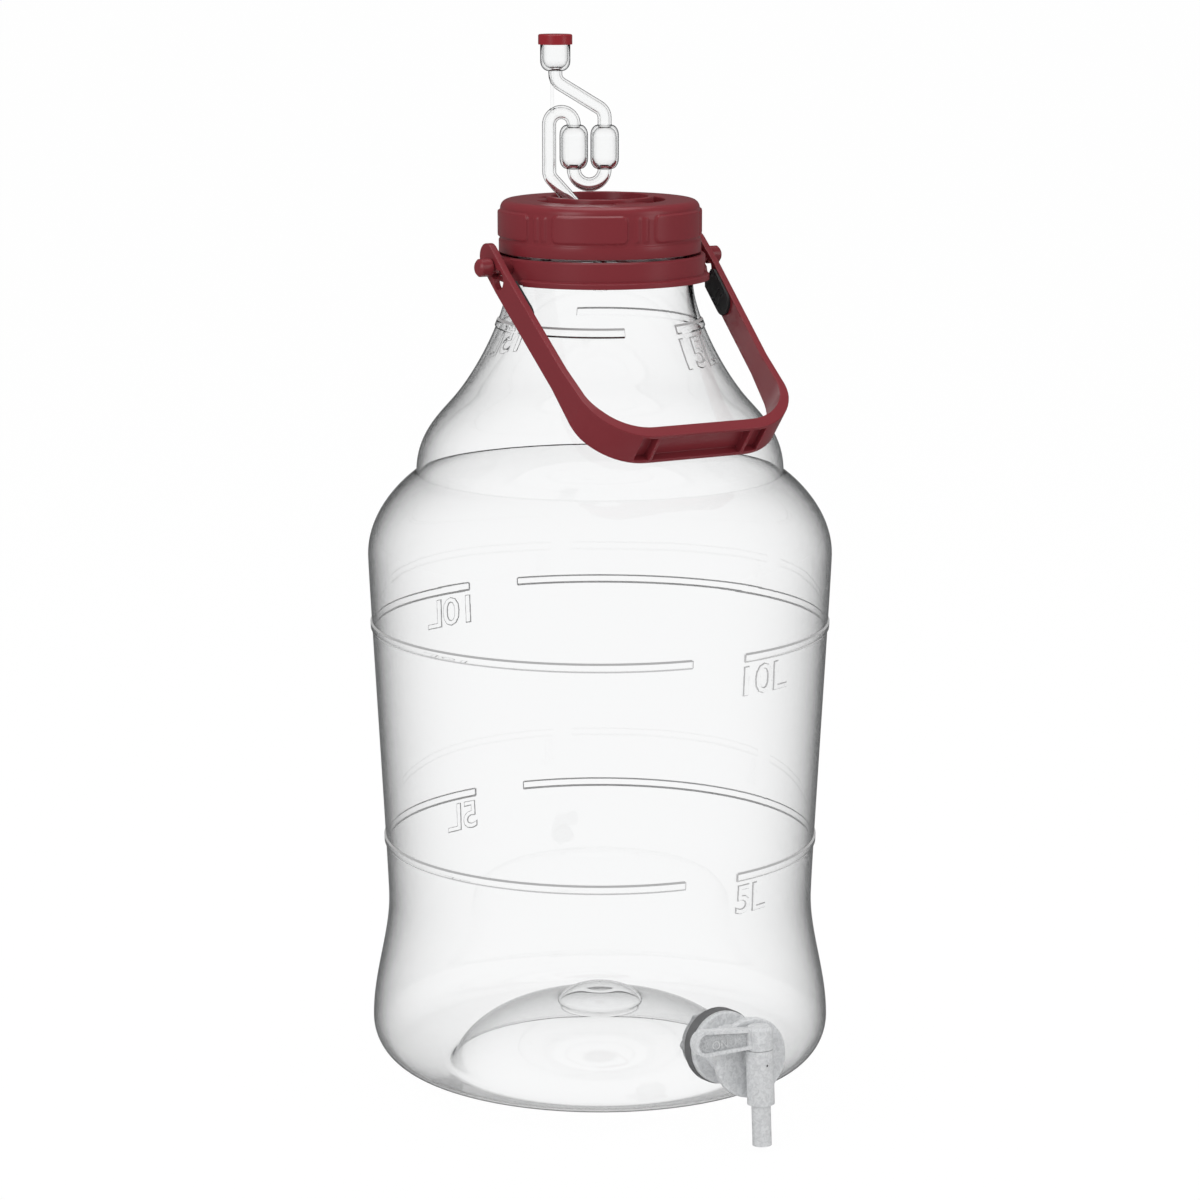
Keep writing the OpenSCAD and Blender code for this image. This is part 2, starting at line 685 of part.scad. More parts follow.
module airlock_cap() {
    bore = cup_r + seat;
    low_z = cup_top_z - lid_grip;
    top_z = low_z + lid_h;
    color(bright_red) in_airlock_plane() translate([cup_x, 0, 0]) difference() {
        revolved([[bore, low_z], [bore + lid_t, low_z], [bore + lid_t, top_z - 0.5],
            [bore + lid_t - 0.5, top_z], [0, top_z], [0, cup_top_z + seat], [bore, cup_top_z + seat]]);
        for (i = [0:vents - 1]) rotate([0, 0, i * turn / vents]) translate([cup_r / 2, 0, cup_top_z - 1])
            cylinder(r = 0.8, h = lid_h);
    }
}

module handle_collar() {
    cut_low = collar_z - 1;
    color(burgundy) union() {
        difference() {
            revolved([[collar_bore_r, collar_z], [flange_r, collar_z], [flange_r, collar_z + flange_h - 0.6],
                [flange_r - 0.6, collar_z + flange_h], [collar_r, collar_z + flange_h + 0.4],
                [collar_r, collar_top_z - 0.8], [collar_r - 0.8, collar_top_z], [upper_bore_r, collar_top_z],
                [upper_bore_r, groove_top_z + 2.5], [collar_bore_r, groove_top_z + 2],
                [collar_bore_r, groove_top_z], [groove_r, groove_top_z], [groove_r, bead_z - 0.3],
                [collar_bore_r, bead_z - 0.3]]);
            for (side = [0, 180]) rotate([0, 0, side]) difference() {
                translate([upper_bore_r - 4, 0, 0]) rotate([90, 0, 90]) linear_extrude(12)
                    polygon([[-4, collar_top_z - 3], [4, collar_top_z - 3], [16, collar_z + 1], [16, cut_low],
                        [-16, cut_low], [-16, collar_z + 1]]);
                translate([0, 0, cut_low - 1]) cylinder(r = peg_ring_r, h = collar_h + 4);
            }
        }
        for (side = [0, 180]) rotate([0, 0, side]) translate([0, 0, peg_z]) rotate([0, 90, 0]) {
            translate([0, 0, upper_bore_r + 0.4]) cylinder(r = peg_r, h = head_x - upper_bore_r);
            translate([0, 0, upper_bore_r + 0.4])
                cylinder(r = peg_head_r, h = arm_x - free - upper_bore_r - 0.4);
            translate([0, 0, head_x]) rotate_extrude() polygon([[0, 0], [peg_head_r - 0.6, 0],
                [peg_head_r, 0.6], [peg_head_r, peg_head_len - 1.2], [peg_head_r - 1.2, peg_head_len],
                [0, peg_head_len]]);
        }
    }
}

// The handle's outline across the jar, inset by d from its outer face
module bail_outline(d, low) {
    r = bend_r - d;
    top_x = arm_out_x - d;
    x = top_x - arm_taper;
    z = handle_reach - low;
    polygon(concat([[-top_x, arm_over], [-top_x, -slant_z], [-x, -z + r]],
        [for (a = [186:6:264]) [-x + r, -z + r] + r * ray(a)], [[-x + r, -z], [x - r, -z]],
        [for (a = [276:6:354]) [x - r, -z + r] + r * ray(a)], [[x, -z + r], [top_x, -slant_z],
            [top_x, arm_over]]));
}

module in_handle_frame() {
    translate([0, 0, peg_z]) rotate([-lean, 0, 0]) children();
}

// The arm's outline seen from the side, widening down to the grip
module side_outline() {
    top = arm_over - arm_w / 2;
    polygon(concat([for (a = [0:9:180]) [0, top] + arm_w / 2 * ray(a)],
        [[-arm_w / 2, -taper_z + 20], [-grip_w / 2, -taper_z - 12], [-grip_w / 2, -handle_reach - 1],
            [grip_w / 2, -handle_reach - 1], [grip_w / 2, -taper_z - 12], [arm_w / 2, -taper_z + 20]]));
}

module grip_pocket(x, w) {
    pocket_w = grip_w - 2 * grip_wall;
    translate([x - w / 2, -pocket_w / 2, -handle_reach - 1]) cube([w, pocket_w, grip_t - grip_wall + 1]);
}

module handle() {
    color(burgundy) in_handle_frame() difference() {
        intersection() {
            rotate([90, 0, 0]) translate([0, 0, -grip_w]) linear_extrude(2 * grip_w) difference() {
                bail_outline(0, 0);
                bail_outline(arm_t, grip_t);
                translate([-arm_x, 0]) square([2 * arm_x, arm_over + 1]);
            }
            rotate([90, 0, 90]) translate([0, 0, -arm_out_x - 1]) linear_extrude(2 * arm_out_x + 2)
                side_outline();
        }
        grip_pocket(0, rib_span - grip_wall);
        for (side = [-1, 1]) grip_pocket(side * (rib_span / 2 + 4 + grip_wall / 2), 8);
        for (side = [-1, 1]) translate([side * (arm_x + arm_t / 2), 0, 0]) rotate([0, 90, 0]) {
            translate([0, 0, -arm_t]) cylinder(r = pivot_r, h = 2 * arm_t);
            translate([key_drop, 0, -arm_t]) cylinder(r = key_r, h = 2 * arm_t);
            translate([0, -pivot_r * 0.94, -arm_t]) cube([key_drop, 2 * pivot_r * 0.94, 2 * arm_t]);
        }
    }
}

// Turns about the place where an arm starts to slant, so that a thing made upright lies on its inner face
module on_arm(side) {
    translate([side * arm_x, 0, -slant_z]) rotate([0, side * slant_a, 0])
        translate([-side * arm_x, 0, slant_z]) children();
}

// A rounded rubber pad on the inner face of an arm, with two finger grooves
module arm_pad(side) {
    half = arm_w / 2 - 0.6;
    color(rubber_black) in_handle_frame() on_arm(side) difference() {
        translate([side * (arm_x - pad_t / 2) - pad_t / 2, 0, 0]) rotate([90, 0, 90]) linear_extrude(pad_t)
            polygon(concat([[-half, -pad_top - 2], [-half + 2, -pad_top], [half - 2, -pad_top],
                [half, -pad_top - 2]], [for (a = [0:15:180]) [0, -pad_top - pad_len + half] - half * ray(a + 180)
                * [[1, 0], [0, -1]]]));
        for (k = [0, 1]) translate([side * pad_x - 0.5, -half + 3.5, -pad_top - pad_len * 0.52 - k * 4])
            cube([1, 2 * half - 5, 1]);
    }
}

module arm_pad_left() {
    arm_pad(-1);
}

module arm_pad_right() {
    arm_pad(1);
}

// What lies inside the jar's outer face near the tap, or inside its inner face, grown by d
module wall_zone(d, inner) {
    low = tap_z - tap_flange_r - 4;
    high = tap_z + tap_flange_r + 6;
    step = 4;
    rotate_extrude($fn = 360) polygon(concat([[0, low]],
        [for (z = [low:step:high]) [(inner ? inner_r(z) : outer_r(z)) + d, z]],
        [[0, low + step * floor((high - low) / step)]]));
}

module tap_gasket_outer() {
    color(rubber_black) difference() {
        at_tap() translate([0, 0, -6]) difference() {
            cylinder(r = gasket_r, h = gasket_out_t + 6);
            translate([0, 0, -1]) cylinder(r = tap_hole_r, h = gasket_out_t + 8);
        }
        wall_zone(seat, false);
    }
}

module tap_gasket_inner() {
    color(rubber_black) intersection() {
        at_tap() translate([0, 0, -wall - gasket_t]) difference() {
            cylinder(r = gasket_in_r, h = gasket_t + 2);
            translate([0, 0, -1]) cylinder(r = tap_hole_r, h = gasket_t + 4);
        }
        wall_zone(-seat, true);
    }
}

module tap_nut() {
    z = -wall - gasket_t - seat - nut_t;
    color(nut_white) at_tap() translate([0, 0, z]) difference() {
        union() {
            cylinder(r = nut_r, h = nut_t, $fn = 6);
            cylinder(r = nut_r - 1.4, h = nut_t);
        }
        translate([0, 0, -1]) cylinder(r = shank_r + seat, h = nut_t + 2);
    }
}

module in_barrel() {
    at_tap() translate([0, 0, barrel_out]) rotate([-90, 0, 0]) children();
}

module tap_body() {
    flange_z = gasket_out_t + seat;
    disc_z = disc_out - disc_t;
    color(tap_grey) difference() {
        union() {
            at_tap() {
                translate([0, 0, -shank_in]) cylinder(r = shank_r, h = shank_in + flange_z + 1);
                translate([0, 0, flange_z]) rotate_extrude() polygon([[0, 0], [tap_flange_r, 0],
                    [tap_flange_r, tap_flange_t - 0.8], [tap_flange_r - 0.8, tap_flange_t], [0, tap_flange_t]]);
                translate([0, 0, flange_z]) cylinder(r = tap_neck_r, h = disc_z - flange_z + 1);
                translate([0, 0, disc_z]) rotate_extrude() polygon([[0, 0], [disc_r, 0], [disc_r, disc_t - 0.8],
                    [disc_r - 0.8, disc_t], [0, disc_t]]);
                translate([0, 0, disc_out - 1]) cylinder(r = boss_r, h = barrel_out - disc_out + 1);
            }
            in_barrel() translate([0, 0, -barrel_down]) cylinder(r = barrel_r, h = barrel_down + barrel_up);
        }
        in_barrel() translate([0, 0, -barrel_down - 1]) cylinder(r = bore_r, h = barrel_down + barrel_up + 2);
        at_tap() translate([0, 0, -shank_in - 1]) cylinder(r = way_r + 1.5, h = shank_in + disc_z - 2);
        at_tap() translate([0, 0, 0]) cylinder(r = way_r, h = barrel_out);
        in_barrel() translate([0, -barrel_r - 1, -1]) rotate([-90, 0, 0]) cylinder(r = pip_r, h = 1.9);
    }
}

// The paddle seen from the front, from the hub at x = 0 out to its round tip
module paddle_outline(d) {
    tip_r = paddle_tip_h / 2 - d;
    root_r = paddle_h / 2 - d;
    tip_x = -lever_len + paddle_tip_h / 2;
    slope = atan2(paddle_tip_h - paddle_h, lever_len - paddle_tip_h / 2);
    polygon(concat([[0, d], [0, paddle_h - d]],
        [for (a = [90 + slope:15:270]) [tip_x, paddle_tip_h / 2] + tip_r * ray(a)],
        [[tip_x, d]]));
}

module tap_lever() {
    recess_x = -barrel_r - 1;
    color(tap_grey) in_barrel() difference() {
        union() {
            translate([0, 0, hub_z]) rotate_extrude() polygon([[0, 0], [barrel_r, 0], [barrel_r, hub_h - 2],
                [barrel_r - 0.6, hub_h - 0.7], [barrel_r - 2, hub_h], [0, hub_h]]);
            translate([0, 0, -barrel_down]) cylinder(r = plug_r, h = barrel_down + hub_z + 1);
            translate([0, 0, -barrel_down - spout_len]) cylinder(r = spout_r, h = spout_len + 1);
            translate([0, paddle_t / 2, hub_z + (hub_h - paddle_h) / 2]) rotate([90, 0, 0])
                linear_extrude(paddle_t) paddle_outline(0);
        }
        translate([0, 0, -barrel_down - spout_len - 1])
            cylinder(r = way_r, h = barrel_down + spout_len + 1 + way_r + 0.4);
        rotate([0, 90, 0]) cylinder(r = way_r - 0.3, h = barrel_r + 2);
        translate([0, -paddle_t / 2 + recess_d, hub_z + (hub_h - paddle_h) / 2]) rotate([90, 0, 0])
            linear_extrude(recess_d + 1) intersection() {
                paddle_outline(1.8);
                translate([-2 * lever_len, -lever_len]) square([2 * lever_len + recess_x, 2 * lever_len]);
            }
    }
}

bottle_base();
bottle_body();
bottle_shoulder();
bottle_neck();
screw_cap();
cap_seal();
grommet();
airlock_body();
airlock_cap();
handle_collar();
handle();
arm_pad_left();
arm_pad_right();
tap_body();
tap_gasket_outer();
tap_gasket_inner();
tap_nut();
tap_lever();
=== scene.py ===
# %% [markdown]
# # A clear fermentation jar with an airlock
# The jar is blown from clear plastic. It has a screw cap with a bubbler airlock, a carrying
# handle that hangs from a collar on the neck, and a drain tap at the front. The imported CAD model
# is the frame: it says where every piece is and what moves. Here each piece gets its real finish.

# %% Load the frame
import math
import bmesh
import bpy
import numpy as np
from mathutils import Matrix, Vector


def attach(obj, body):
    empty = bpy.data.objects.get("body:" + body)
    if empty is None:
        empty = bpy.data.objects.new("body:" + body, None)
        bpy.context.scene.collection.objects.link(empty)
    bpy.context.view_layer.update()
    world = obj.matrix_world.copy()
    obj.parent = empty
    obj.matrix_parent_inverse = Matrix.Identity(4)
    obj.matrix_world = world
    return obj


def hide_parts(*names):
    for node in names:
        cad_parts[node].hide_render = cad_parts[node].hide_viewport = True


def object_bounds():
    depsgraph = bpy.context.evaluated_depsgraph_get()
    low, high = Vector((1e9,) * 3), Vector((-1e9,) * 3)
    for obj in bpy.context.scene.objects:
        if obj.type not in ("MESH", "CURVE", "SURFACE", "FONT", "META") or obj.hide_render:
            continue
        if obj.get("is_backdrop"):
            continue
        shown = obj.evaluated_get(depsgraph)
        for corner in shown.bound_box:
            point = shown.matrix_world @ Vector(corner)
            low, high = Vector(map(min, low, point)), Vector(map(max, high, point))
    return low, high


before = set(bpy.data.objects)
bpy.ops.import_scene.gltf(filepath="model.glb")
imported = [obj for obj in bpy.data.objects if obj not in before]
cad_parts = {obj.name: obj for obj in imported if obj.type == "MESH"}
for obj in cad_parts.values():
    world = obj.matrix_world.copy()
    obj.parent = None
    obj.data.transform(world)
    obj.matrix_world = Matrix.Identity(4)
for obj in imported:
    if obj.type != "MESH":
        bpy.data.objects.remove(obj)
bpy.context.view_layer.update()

MM = 0.001

# %% [markdown]
# ## Camera
# A long lens, a little above the jar's middle and turned to its left, as in a product picture.
# The position came from the ellipses of the bands and the cap: their flatness gives the pitch,
# and their size gives the distance.

# %% Camera
LENS, PITCH, TURN = 109.76, 11.085, -30.0
camera_data = bpy.data.cameras.new("camera")
camera_data.sensor_width = 36.0
camera_data.lens = LENS
camera_data.clip_end = 200.0
camera = bpy.data.objects.new("camera", camera_data)
bpy.context.scene.collection.objects.link(camera)
camera.location = (-0.9540, -1.6524, 0.6295)
camera.rotation_euler = (math.radians(90 - PITCH), 0.0, math.radians(TURN))
bpy.context.scene.camera = camera
print("Lens", LENS, "mm")

# %% [markdown]
# ## Light
# Clear plastic shows what is around it. A photographer puts a bright white card behind it and
# keeps the rest of the room dimmer: light that comes straight through is white, and the dim room,
# mirrored where the wall turns away, draws the dark outline. So the room is white to the camera
# and through the plastic, and dimmer in reflections and on matt surfaces, which also keeps the
# coloured plastic from going pale. Three large soft lamps light the coloured pieces.

# %% World
scene = bpy.context.scene
scene.view_settings.view_transform = "Standard"
world = bpy.data.worlds.new("white_room")
scene.world = world
world.use_nodes = True
ROOM_LIGHT, MIRRORED = 0.55, 0.12


def calc(tree, operation, *values):
    """The output of a Math node whose inputs are other outputs or plain numbers."""
    node = tree.nodes.new("ShaderNodeMath")
    node.operation = operation
    for socket, value in zip(node.inputs, values):
        if isinstance(value, bpy.types.NodeSocket):
            tree.links.new(value, socket)
        else:
            socket.default_value = value
    return node.outputs[0]


def seen_directly(tree):
    """1 for camera and transmission rays, less for glossy rays, else 0."""
    path = tree.nodes.new("ShaderNodeLightPath").outputs
    straight = calc(tree, "MAXIMUM", path["Is Camera Ray"], path["Is Transmission Ray"])
    return calc(tree, "MAXIMUM", straight, calc(tree, "MULTIPLY", path["Is Glossy Ray"], MIRRORED))


tree = world.node_tree
tree.nodes.clear()
room = tree.nodes.new("ShaderNodeBackground")
room.inputs["Color"].default_value = (1.0, 1.0, 1.0, 1.0)
matt_ray = tree.nodes.new("ShaderNodeLightPath").outputs["Is Diffuse Ray"]
tree.links.new(calc(tree, "MULTIPLY_ADD", matt_ray, ROOM_LIGHT, seen_directly(tree)), room.inputs["Strength"])
world_out = tree.nodes.new("ShaderNodeOutputWorld")
tree.links.new(room.outputs["Background"], world_out.inputs["Surface"])
print("Room lights matt surfaces at", ROOM_LIGHT, "and is mirrored at", MIRRORED)

# %% Lamps


def soft_lamp(name, place, target, size, watts):
    lamp = bpy.data.lights.new(name, "AREA")
    lamp.shape = "RECTANGLE"
    lamp.size, lamp.size_y = size
    lamp.energy = watts
    holder = bpy.data.objects.new(name, lamp)
    scene.collection.objects.link(holder)
    holder.location = place
    aim = Vector(target) - Vector(place)
    holder.rotation_euler = aim.to_track_quat("-Z", "Y").to_euler()
    holder.visible_camera = False
    holder.visible_transmission = False


middle = (0.0, 0.0, 0.3)
soft_lamp("lamp_left", (-1.9, -0.9, 1.3), middle, (0.9, 1.5), 16.0)
soft_lamp("lamp_right", (1.2, -1.7, 1.0), middle, (0.8, 1.4), 8.0)
soft_lamp("lamp_above", (0.1, 0.2, 2.0), middle, (1.2, 1.2), 12.0)

# %% [markdown]
# ## Floor
# A pale plane under the jar. Most of what the camera sees of it is a white glow, so that the
# picture's ground is white. The rest is plain diffuse white, which keeps a faint shadow. In a
# reflection the floor is as dim as the room.

# %% Floor
FLOOR_REACH, FLOOR_DROP = 60.0, 0.0002
FLOOR_GLOW, GLOW_STRENGTH, FLOOR_GREY = 0.97, 1.01, 0.82
floor_mesh = bpy.data.meshes.new("floor")
square = [(-1, -1), (1, -1), (1, 1), (-1, 1)]
floor_mesh.from_pydata([(x * FLOOR_REACH, y * FLOOR_REACH, 0) for x, y in square], [], [(0, 1, 2, 3)])
floor = bpy.data.objects.new("floor", floor_mesh)
scene.collection.objects.link(floor)
floor.location.z = -FLOOR_DROP
paper = bpy.data.materials.new("pale_floor")
paper.use_nodes = True
tree = paper.node_tree
tree.nodes.clear()
matt = tree.nodes.new("ShaderNodeBsdfDiffuse")
shade = tree.nodes.new("ShaderNodeMapRange")
shade.inputs["To Min"].default_value = FLOOR_GREY
shade.inputs["To Max"].default_value = FLOOR_GREY * MIRRORED
tree.links.new(tree.nodes.new("ShaderNodeLightPath").outputs["Is Glossy Ray"], shade.inputs["Value"])
tree.links.new(shade.outputs["Result"], matt.inputs["Color"])
glow = tree.nodes.new("ShaderNodeEmission")
glow.inputs["Color"].default_value = (1.0, 1.0, 1.0, 1.0)
glow.inputs["Strength"].default_value = GLOW_STRENGTH
mix = tree.nodes.new("ShaderNodeMixShader")
tree.links.new(calc(tree, "MULTIPLY", seen_directly(tree), FLOOR_GLOW), mix.inputs["Fac"])
tree.links.new(matt.outputs["BSDF"], mix.inputs[1])
tree.links.new(glow.outputs["Emission"], mix.inputs[2])
floor_out = tree.nodes.new("ShaderNodeOutputMaterial")
tree.links.new(mix.outputs["Shader"], floor_out.inputs["Surface"])
floor_mesh.materials.append(paper)
floor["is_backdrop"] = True
print("Floor glows at", FLOOR_GLOW)

# %% [markdown]
# ## Shared effects
# Three effects are used by more than one finish: the faint ripple of blown plastic, the fine
# skin of a moulding with its small change of gloss, and the cloudy mottle of uncoloured plastic.
# Each is a node group, built once and placed in each material with its own values.

# %% Group helper


def effect_group(name, inputs, outputs):
    group = bpy.data.node_groups.new(name, "ShaderNodeTree")
    for label, kind, value in inputs:
        socket = group.interface.new_socket(label, in_out="INPUT", socket_type=kind)
        socket.default_value = value
    for label, kind in outputs:
        group.interface.new_socket(label, in_out="OUTPUT", socket_type=kind)
    start = group.nodes.new("NodeGroupInput")
    end = group.nodes.new("NodeGroupOutput")
    return group, start, end


def noise_in(group, start, scale_socket, detail, stretch=None):
    """A noise texture over the object's own coordinates, in its own millimetre-based scale."""
    where = group.nodes.new("ShaderNodeTexCoord")
    noise = group.nodes.new("ShaderNodeTexNoise")
    noise.inputs["Detail"].default_value = detail
    source = where.outputs["Object"]
    if stretch:
        squeeze = group.nodes.new("ShaderNodeMapping")
        squeeze.inputs["Scale"].default_value = stretch
        group.links.new(source, squeeze.inputs["Vector"])
        source = squeeze.outputs["Vector"]
    group.links.new(source, noise.inputs["Vector"])
    group.links.new(start.outputs[scale_socket], noise.inputs["Scale"])
    return noise


# %% Ripple of blown plastic
ripple, ripple_in, ripple_out = effect_group(
    "blown_ripple",
    [("Scale", "NodeSocketFloat", 30.0), ("Fine Scale", "NodeSocketFloat", 160.0),
     ("Fine Share", "NodeSocketFloat", 0.03)],
    [("Height", "NodeSocketFloat")])
broad = noise_in(ripple, ripple_in, "Scale", 2.0, (1.0, 1.0, 0.45))
fine = noise_in(ripple, ripple_in, "Fine Scale", 2.0)
waves = calc(ripple, "MULTIPLY_ADD", fine.outputs["Fac"], ripple_in.outputs["Fine Share"],
             broad.outputs["Fac"])
ripple.links.new(waves, ripple_out.inputs["Height"])
print("Group", ripple.name)

# %% Skin of a moulding
skin, skin_in, skin_out = effect_group(
    "moulded_skin",
    [("Color", "NodeSocketColor", (0.5, 0.5, 0.5, 1.0)), ("Colour Change", "NodeSocketFloat", 0.06),
     ("Roughness", "NodeSocketFloat", 0.4), ("Gloss Change", "NodeSocketFloat", 0.08),
     ("Grain Scale", "NodeSocketFloat", 1200.0)],
    [("Color", "NodeSocketColor"), ("Roughness", "NodeSocketFloat"), ("Height", "NodeSocketFloat")])
cloud = skin.nodes.new("ShaderNodeTexNoise")
cloud.inputs["Scale"].default_value = 70.0
cloud.inputs["Detail"].default_value = 3.0
place = skin.nodes.new("ShaderNodeTexCoord")
skin.links.new(place.outputs["Object"], cloud.inputs["Vector"])
grain = noise_in(skin, skin_in, "Grain Scale", 2.0)


def centred(group, value, amount):
    """(value - 0.5) times amount."""
    return calc(group, "MULTIPLY", calc(group, "SUBTRACT", value, 0.5), amount)


change = centred(skin, cloud.outputs["Fac"], skin_in.outputs["Colour Change"])
tinted = skin.nodes.new("ShaderNodeVectorMath")
tinted.operation = "SCALE"
skin.links.new(skin_in.outputs["Color"], tinted.inputs[0])
skin.links.new(calc(skin, "ADD", change, 1.0), tinted.inputs["Scale"])
skin.links.new(tinted.outputs["Vector"], skin_out.inputs["Color"])
change = centred(skin, grain.outputs["Fac"], skin_in.outputs["Gloss Change"])
skin.links.new(calc(skin, "ADD", change, skin_in.outputs["Roughness"]), skin_out.inputs["Roughness"])
skin.links.new(grain.outputs["Fac"], skin_out.inputs["Height"])
print("Group", skin.name)

# %% Mottle of uncoloured plastic
mottle, mottle_in, mottle_out = effect_group(
    "cloudy_mottle",
    [("Pale", "NodeSocketColor", (0.75, 0.76, 0.77, 1.0)),
     ("Deep", "NodeSocketColor", (0.5, 0.51, 0.52, 1.0)), ("Scale", "NodeSocketFloat", 260.0)],
    [("Color", "NodeSocketColor"), ("Height", "NodeSocketFloat")])
swirl = noise_in(mottle, mottle_in, "Scale", 4.0)
swirl.inputs["Distortion"].default_value = 1.2
blend_in = mottle.nodes.new("ShaderNodeMapRange")
blend_in.inputs["From Min"].default_value = 0.35
blend_in.inputs["From Max"].default_value = 0.68
mottle.links.new(swirl.outputs["Fac"], blend_in.inputs["Value"])
two = mottle.nodes.new("ShaderNodeMix")
two.data_type = "RGBA"
mottle.links.new(blend_in.outputs["Result"], two.inputs["Factor"])
mottle.links.new(mottle_in.outputs["Pale"], two.inputs["A"])
mottle.links.new(mottle_in.outputs["Deep"], two.inputs["B"])
mottle.links.new(two.outputs["Result"], mottle_out.inputs["Color"])
mottle.links.new(swirl.outputs["Fac"], mottle_out.inputs["Height"])
print("Group", mottle.name)

# %% [markdown]
# ## Clear plastic
# Real clear plastic is told by its dark edges, where the wall turns away and the plastic reads dark.
# Here that dark edge is painted shade: Layer Weight's Facing finds those places, and the base
# colour falls to grey there. The power says how close to the edge that is, and the gain how soon
# it is fully dark. The constants stay on the shader.

# %% Clear plastic maker


def bump_from(material, height, distance):
    tree = material.node_tree
    bump = tree.nodes.new("ShaderNodeBump")
    bump.inputs["Strength"].default_value = 1.0
    bump.inputs["Distance"].default_value = distance
    tree.links.new(height, bump.inputs["Height"])
    tree.links.new(bump.outputs["Normal"], tree.nodes["Principled BSDF"].inputs["Normal"])


def finish_with(name, group):
    """A new material with that effect group in it: the material, its shader and the group's node."""
    material = bpy.data.materials.new(name)
    material.use_nodes = True
    node = material.node_tree.nodes.new("ShaderNodeGroup")
    node.node_tree = group
    return material, material.node_tree.nodes["Principled BSDF"], node


def clear_plastic(name, clear, edge, turn_power, turn_gain, ripple_mm):
    material, shader, wave = finish_with(name, ripple)
    tree = material.node_tree
    shader.inputs["Metallic"].default_value = 0.0
    shader.inputs["Transmission Weight"].default_value = 1.0
    shader.inputs["IOR"].default_value = 1.46
    shader.inputs["Roughness"].default_value = 0.0
    # Painted shade: the base colour falls from the clear colour to the edge colour where the surface turns
    # away, which draws the dark outline.
    facing = tree.nodes.new("ShaderNodeLayerWeight")
    facing.inputs["Blend"].default_value = 0.5
    painted_edge_shade = calc(tree, "MULTIPLY", calc(tree, "POWER", facing.outputs["Facing"], turn_power), turn_gain)
    colours = tree.nodes.new("ShaderNodeMix")
    colours.data_type = "RGBA"
    colours.inputs["A"].default_value = (*clear, 1.0)
    colours.inputs["B"].default_value = (*edge, 1.0)
    tree.links.new(painted_edge_shade, colours.inputs["Factor"])
    tree.links.new(colours.outputs["Result"], shader.inputs["Base Color"])
    bump_from(material, wave.outputs["Height"], ripple_mm * MM)
    return material


jar_plastic = clear_plastic("clear_jar_plastic", (0.993, 0.995, 0.996), (0.02, 0.022, 0.024), 3.4, 1.6, 0.04)
# Near-black throughout: painted shade for the dark lines along the steep sides of the marks.
mark_edge_painted_shade = clear_plastic("clear_mark_edges_painted_shade", (0.012, 0.013, 0.014), (0.004, 0.004, 0.005),
                                  3.25, 1.6, 0.04)
airlock_plastic = clear_plastic("clear_airlock_plastic", (0.99, 0.993, 0.993), (0.01, 0.012, 0.013),
                                3.0, 3.0, 0.0)
print("Clear finishes:", jar_plastic.name, mark_edge_painted_shade.name, airlock_plastic.name)

# %% [markdown]
# ## Coloured plastic and rubber
# The cap, collar and handle are one burgundy moulding colour with a satin skin. The cap on the
# airlock is a brighter red. The tap is uncoloured plastic, pale and a little cloudy, so it gets
# the mottle and some light carried under its surface. The tap's gaskets are dark grey rubber, the
# pads and the grommet are black, and the cap's seal is pale foam.

# %% Opaque finishes


def moulded(name, colour, roughness, grain=1200.0, colour_change=0.06, gloss_change=0.1, bump=0.012,
            specular=0.5):
    material, shader, surface = finish_with(name, skin)
    links = material.node_tree.links
    surface.inputs["Color"].default_value = (*colour, 1.0)
    surface.inputs["Roughness"].default_value = roughness
    surface.inputs["Colour Change"].default_value = colour_change
    surface.inputs["Gloss Change"].default_value = gloss_change
    surface.inputs["Grain Scale"].default_value = grain
    links.new(surface.outputs["Color"], shader.inputs["Base Color"])
    links.new(surface.outputs["Roughness"], shader.inputs["Roughness"])
    shader.inputs["Specular IOR Level"].default_value = specular
    bump_from(material, surface.outputs["Height"], bump * MM)
    return material


burgundy = moulded("burgundy_plastic", (0.218, 0.0275, 0.0355), 0.3, specular=0.3)
airlock_red = moulded("red_plastic", (0.30, 0.018, 0.026), 0.32, specular=0.35)
seal_foam = moulded("foam_seal", (0.74, 0.73, 0.69), 0.85, grain=2600.0, bump=0.05)
gasket_rubber = moulded("dark_grey_rubber", (0.165, 0.165, 0.168), 0.6, grain=900.0, gloss_change=0.2,
                        bump=0.03)
black_rubber = moulded("black_rubber", (0.022, 0.022, 0.023), 0.62, grain=900.0, gloss_change=0.2, bump=0.03)
print("Moulded finishes made")

# %% Cloudy tap plastic


def cloudy(name, pale, deep, scale, roughness):
    material, shader, clouds = finish_with(name, mottle)
    clouds.inputs["Pale"].default_value = (*pale, 1.0)
    clouds.inputs["Deep"].default_value = (*deep, 1.0)
    clouds.inputs["Scale"].default_value = scale
    material.node_tree.links.new(clouds.outputs["Color"], shader.inputs["Base Color"])
    shader.inputs["Roughness"].default_value = roughness
    shader.inputs["Subsurface Weight"].default_value = 0.35
    shader.inputs["Subsurface Radius"].default_value = (1.0, 1.0, 1.0)
    shader.inputs["Subsurface Scale"].default_value = 0.003
    bump_from(material, clouds.outputs["Height"], 0.05 * MM)
    return material


tap_grey = cloudy("cloudy_grey_plastic", (0.78, 0.79, 0.80), (0.60, 0.61, 0.62), 430.0, 0.3)
recess_grey = cloudy("recess_floor_grey_plastic", (0.64, 0.65, 0.66), (0.40, 0.41, 0.42), 760.0, 0.5)
# Painted shade: the nut sits inside the jar, and its grey is darker than the tap's to stand for the shade
# there.
nut_grey_painted_shade = cloudy("cloudy_nut_painted_shade", (0.60, 0.60, 0.61), (0.33, 0.34, 0.35), 420.0, 0.4)
print("Tap finishes:", tap_grey.name, recess_grey.name, nut_grey_painted_shade.name)

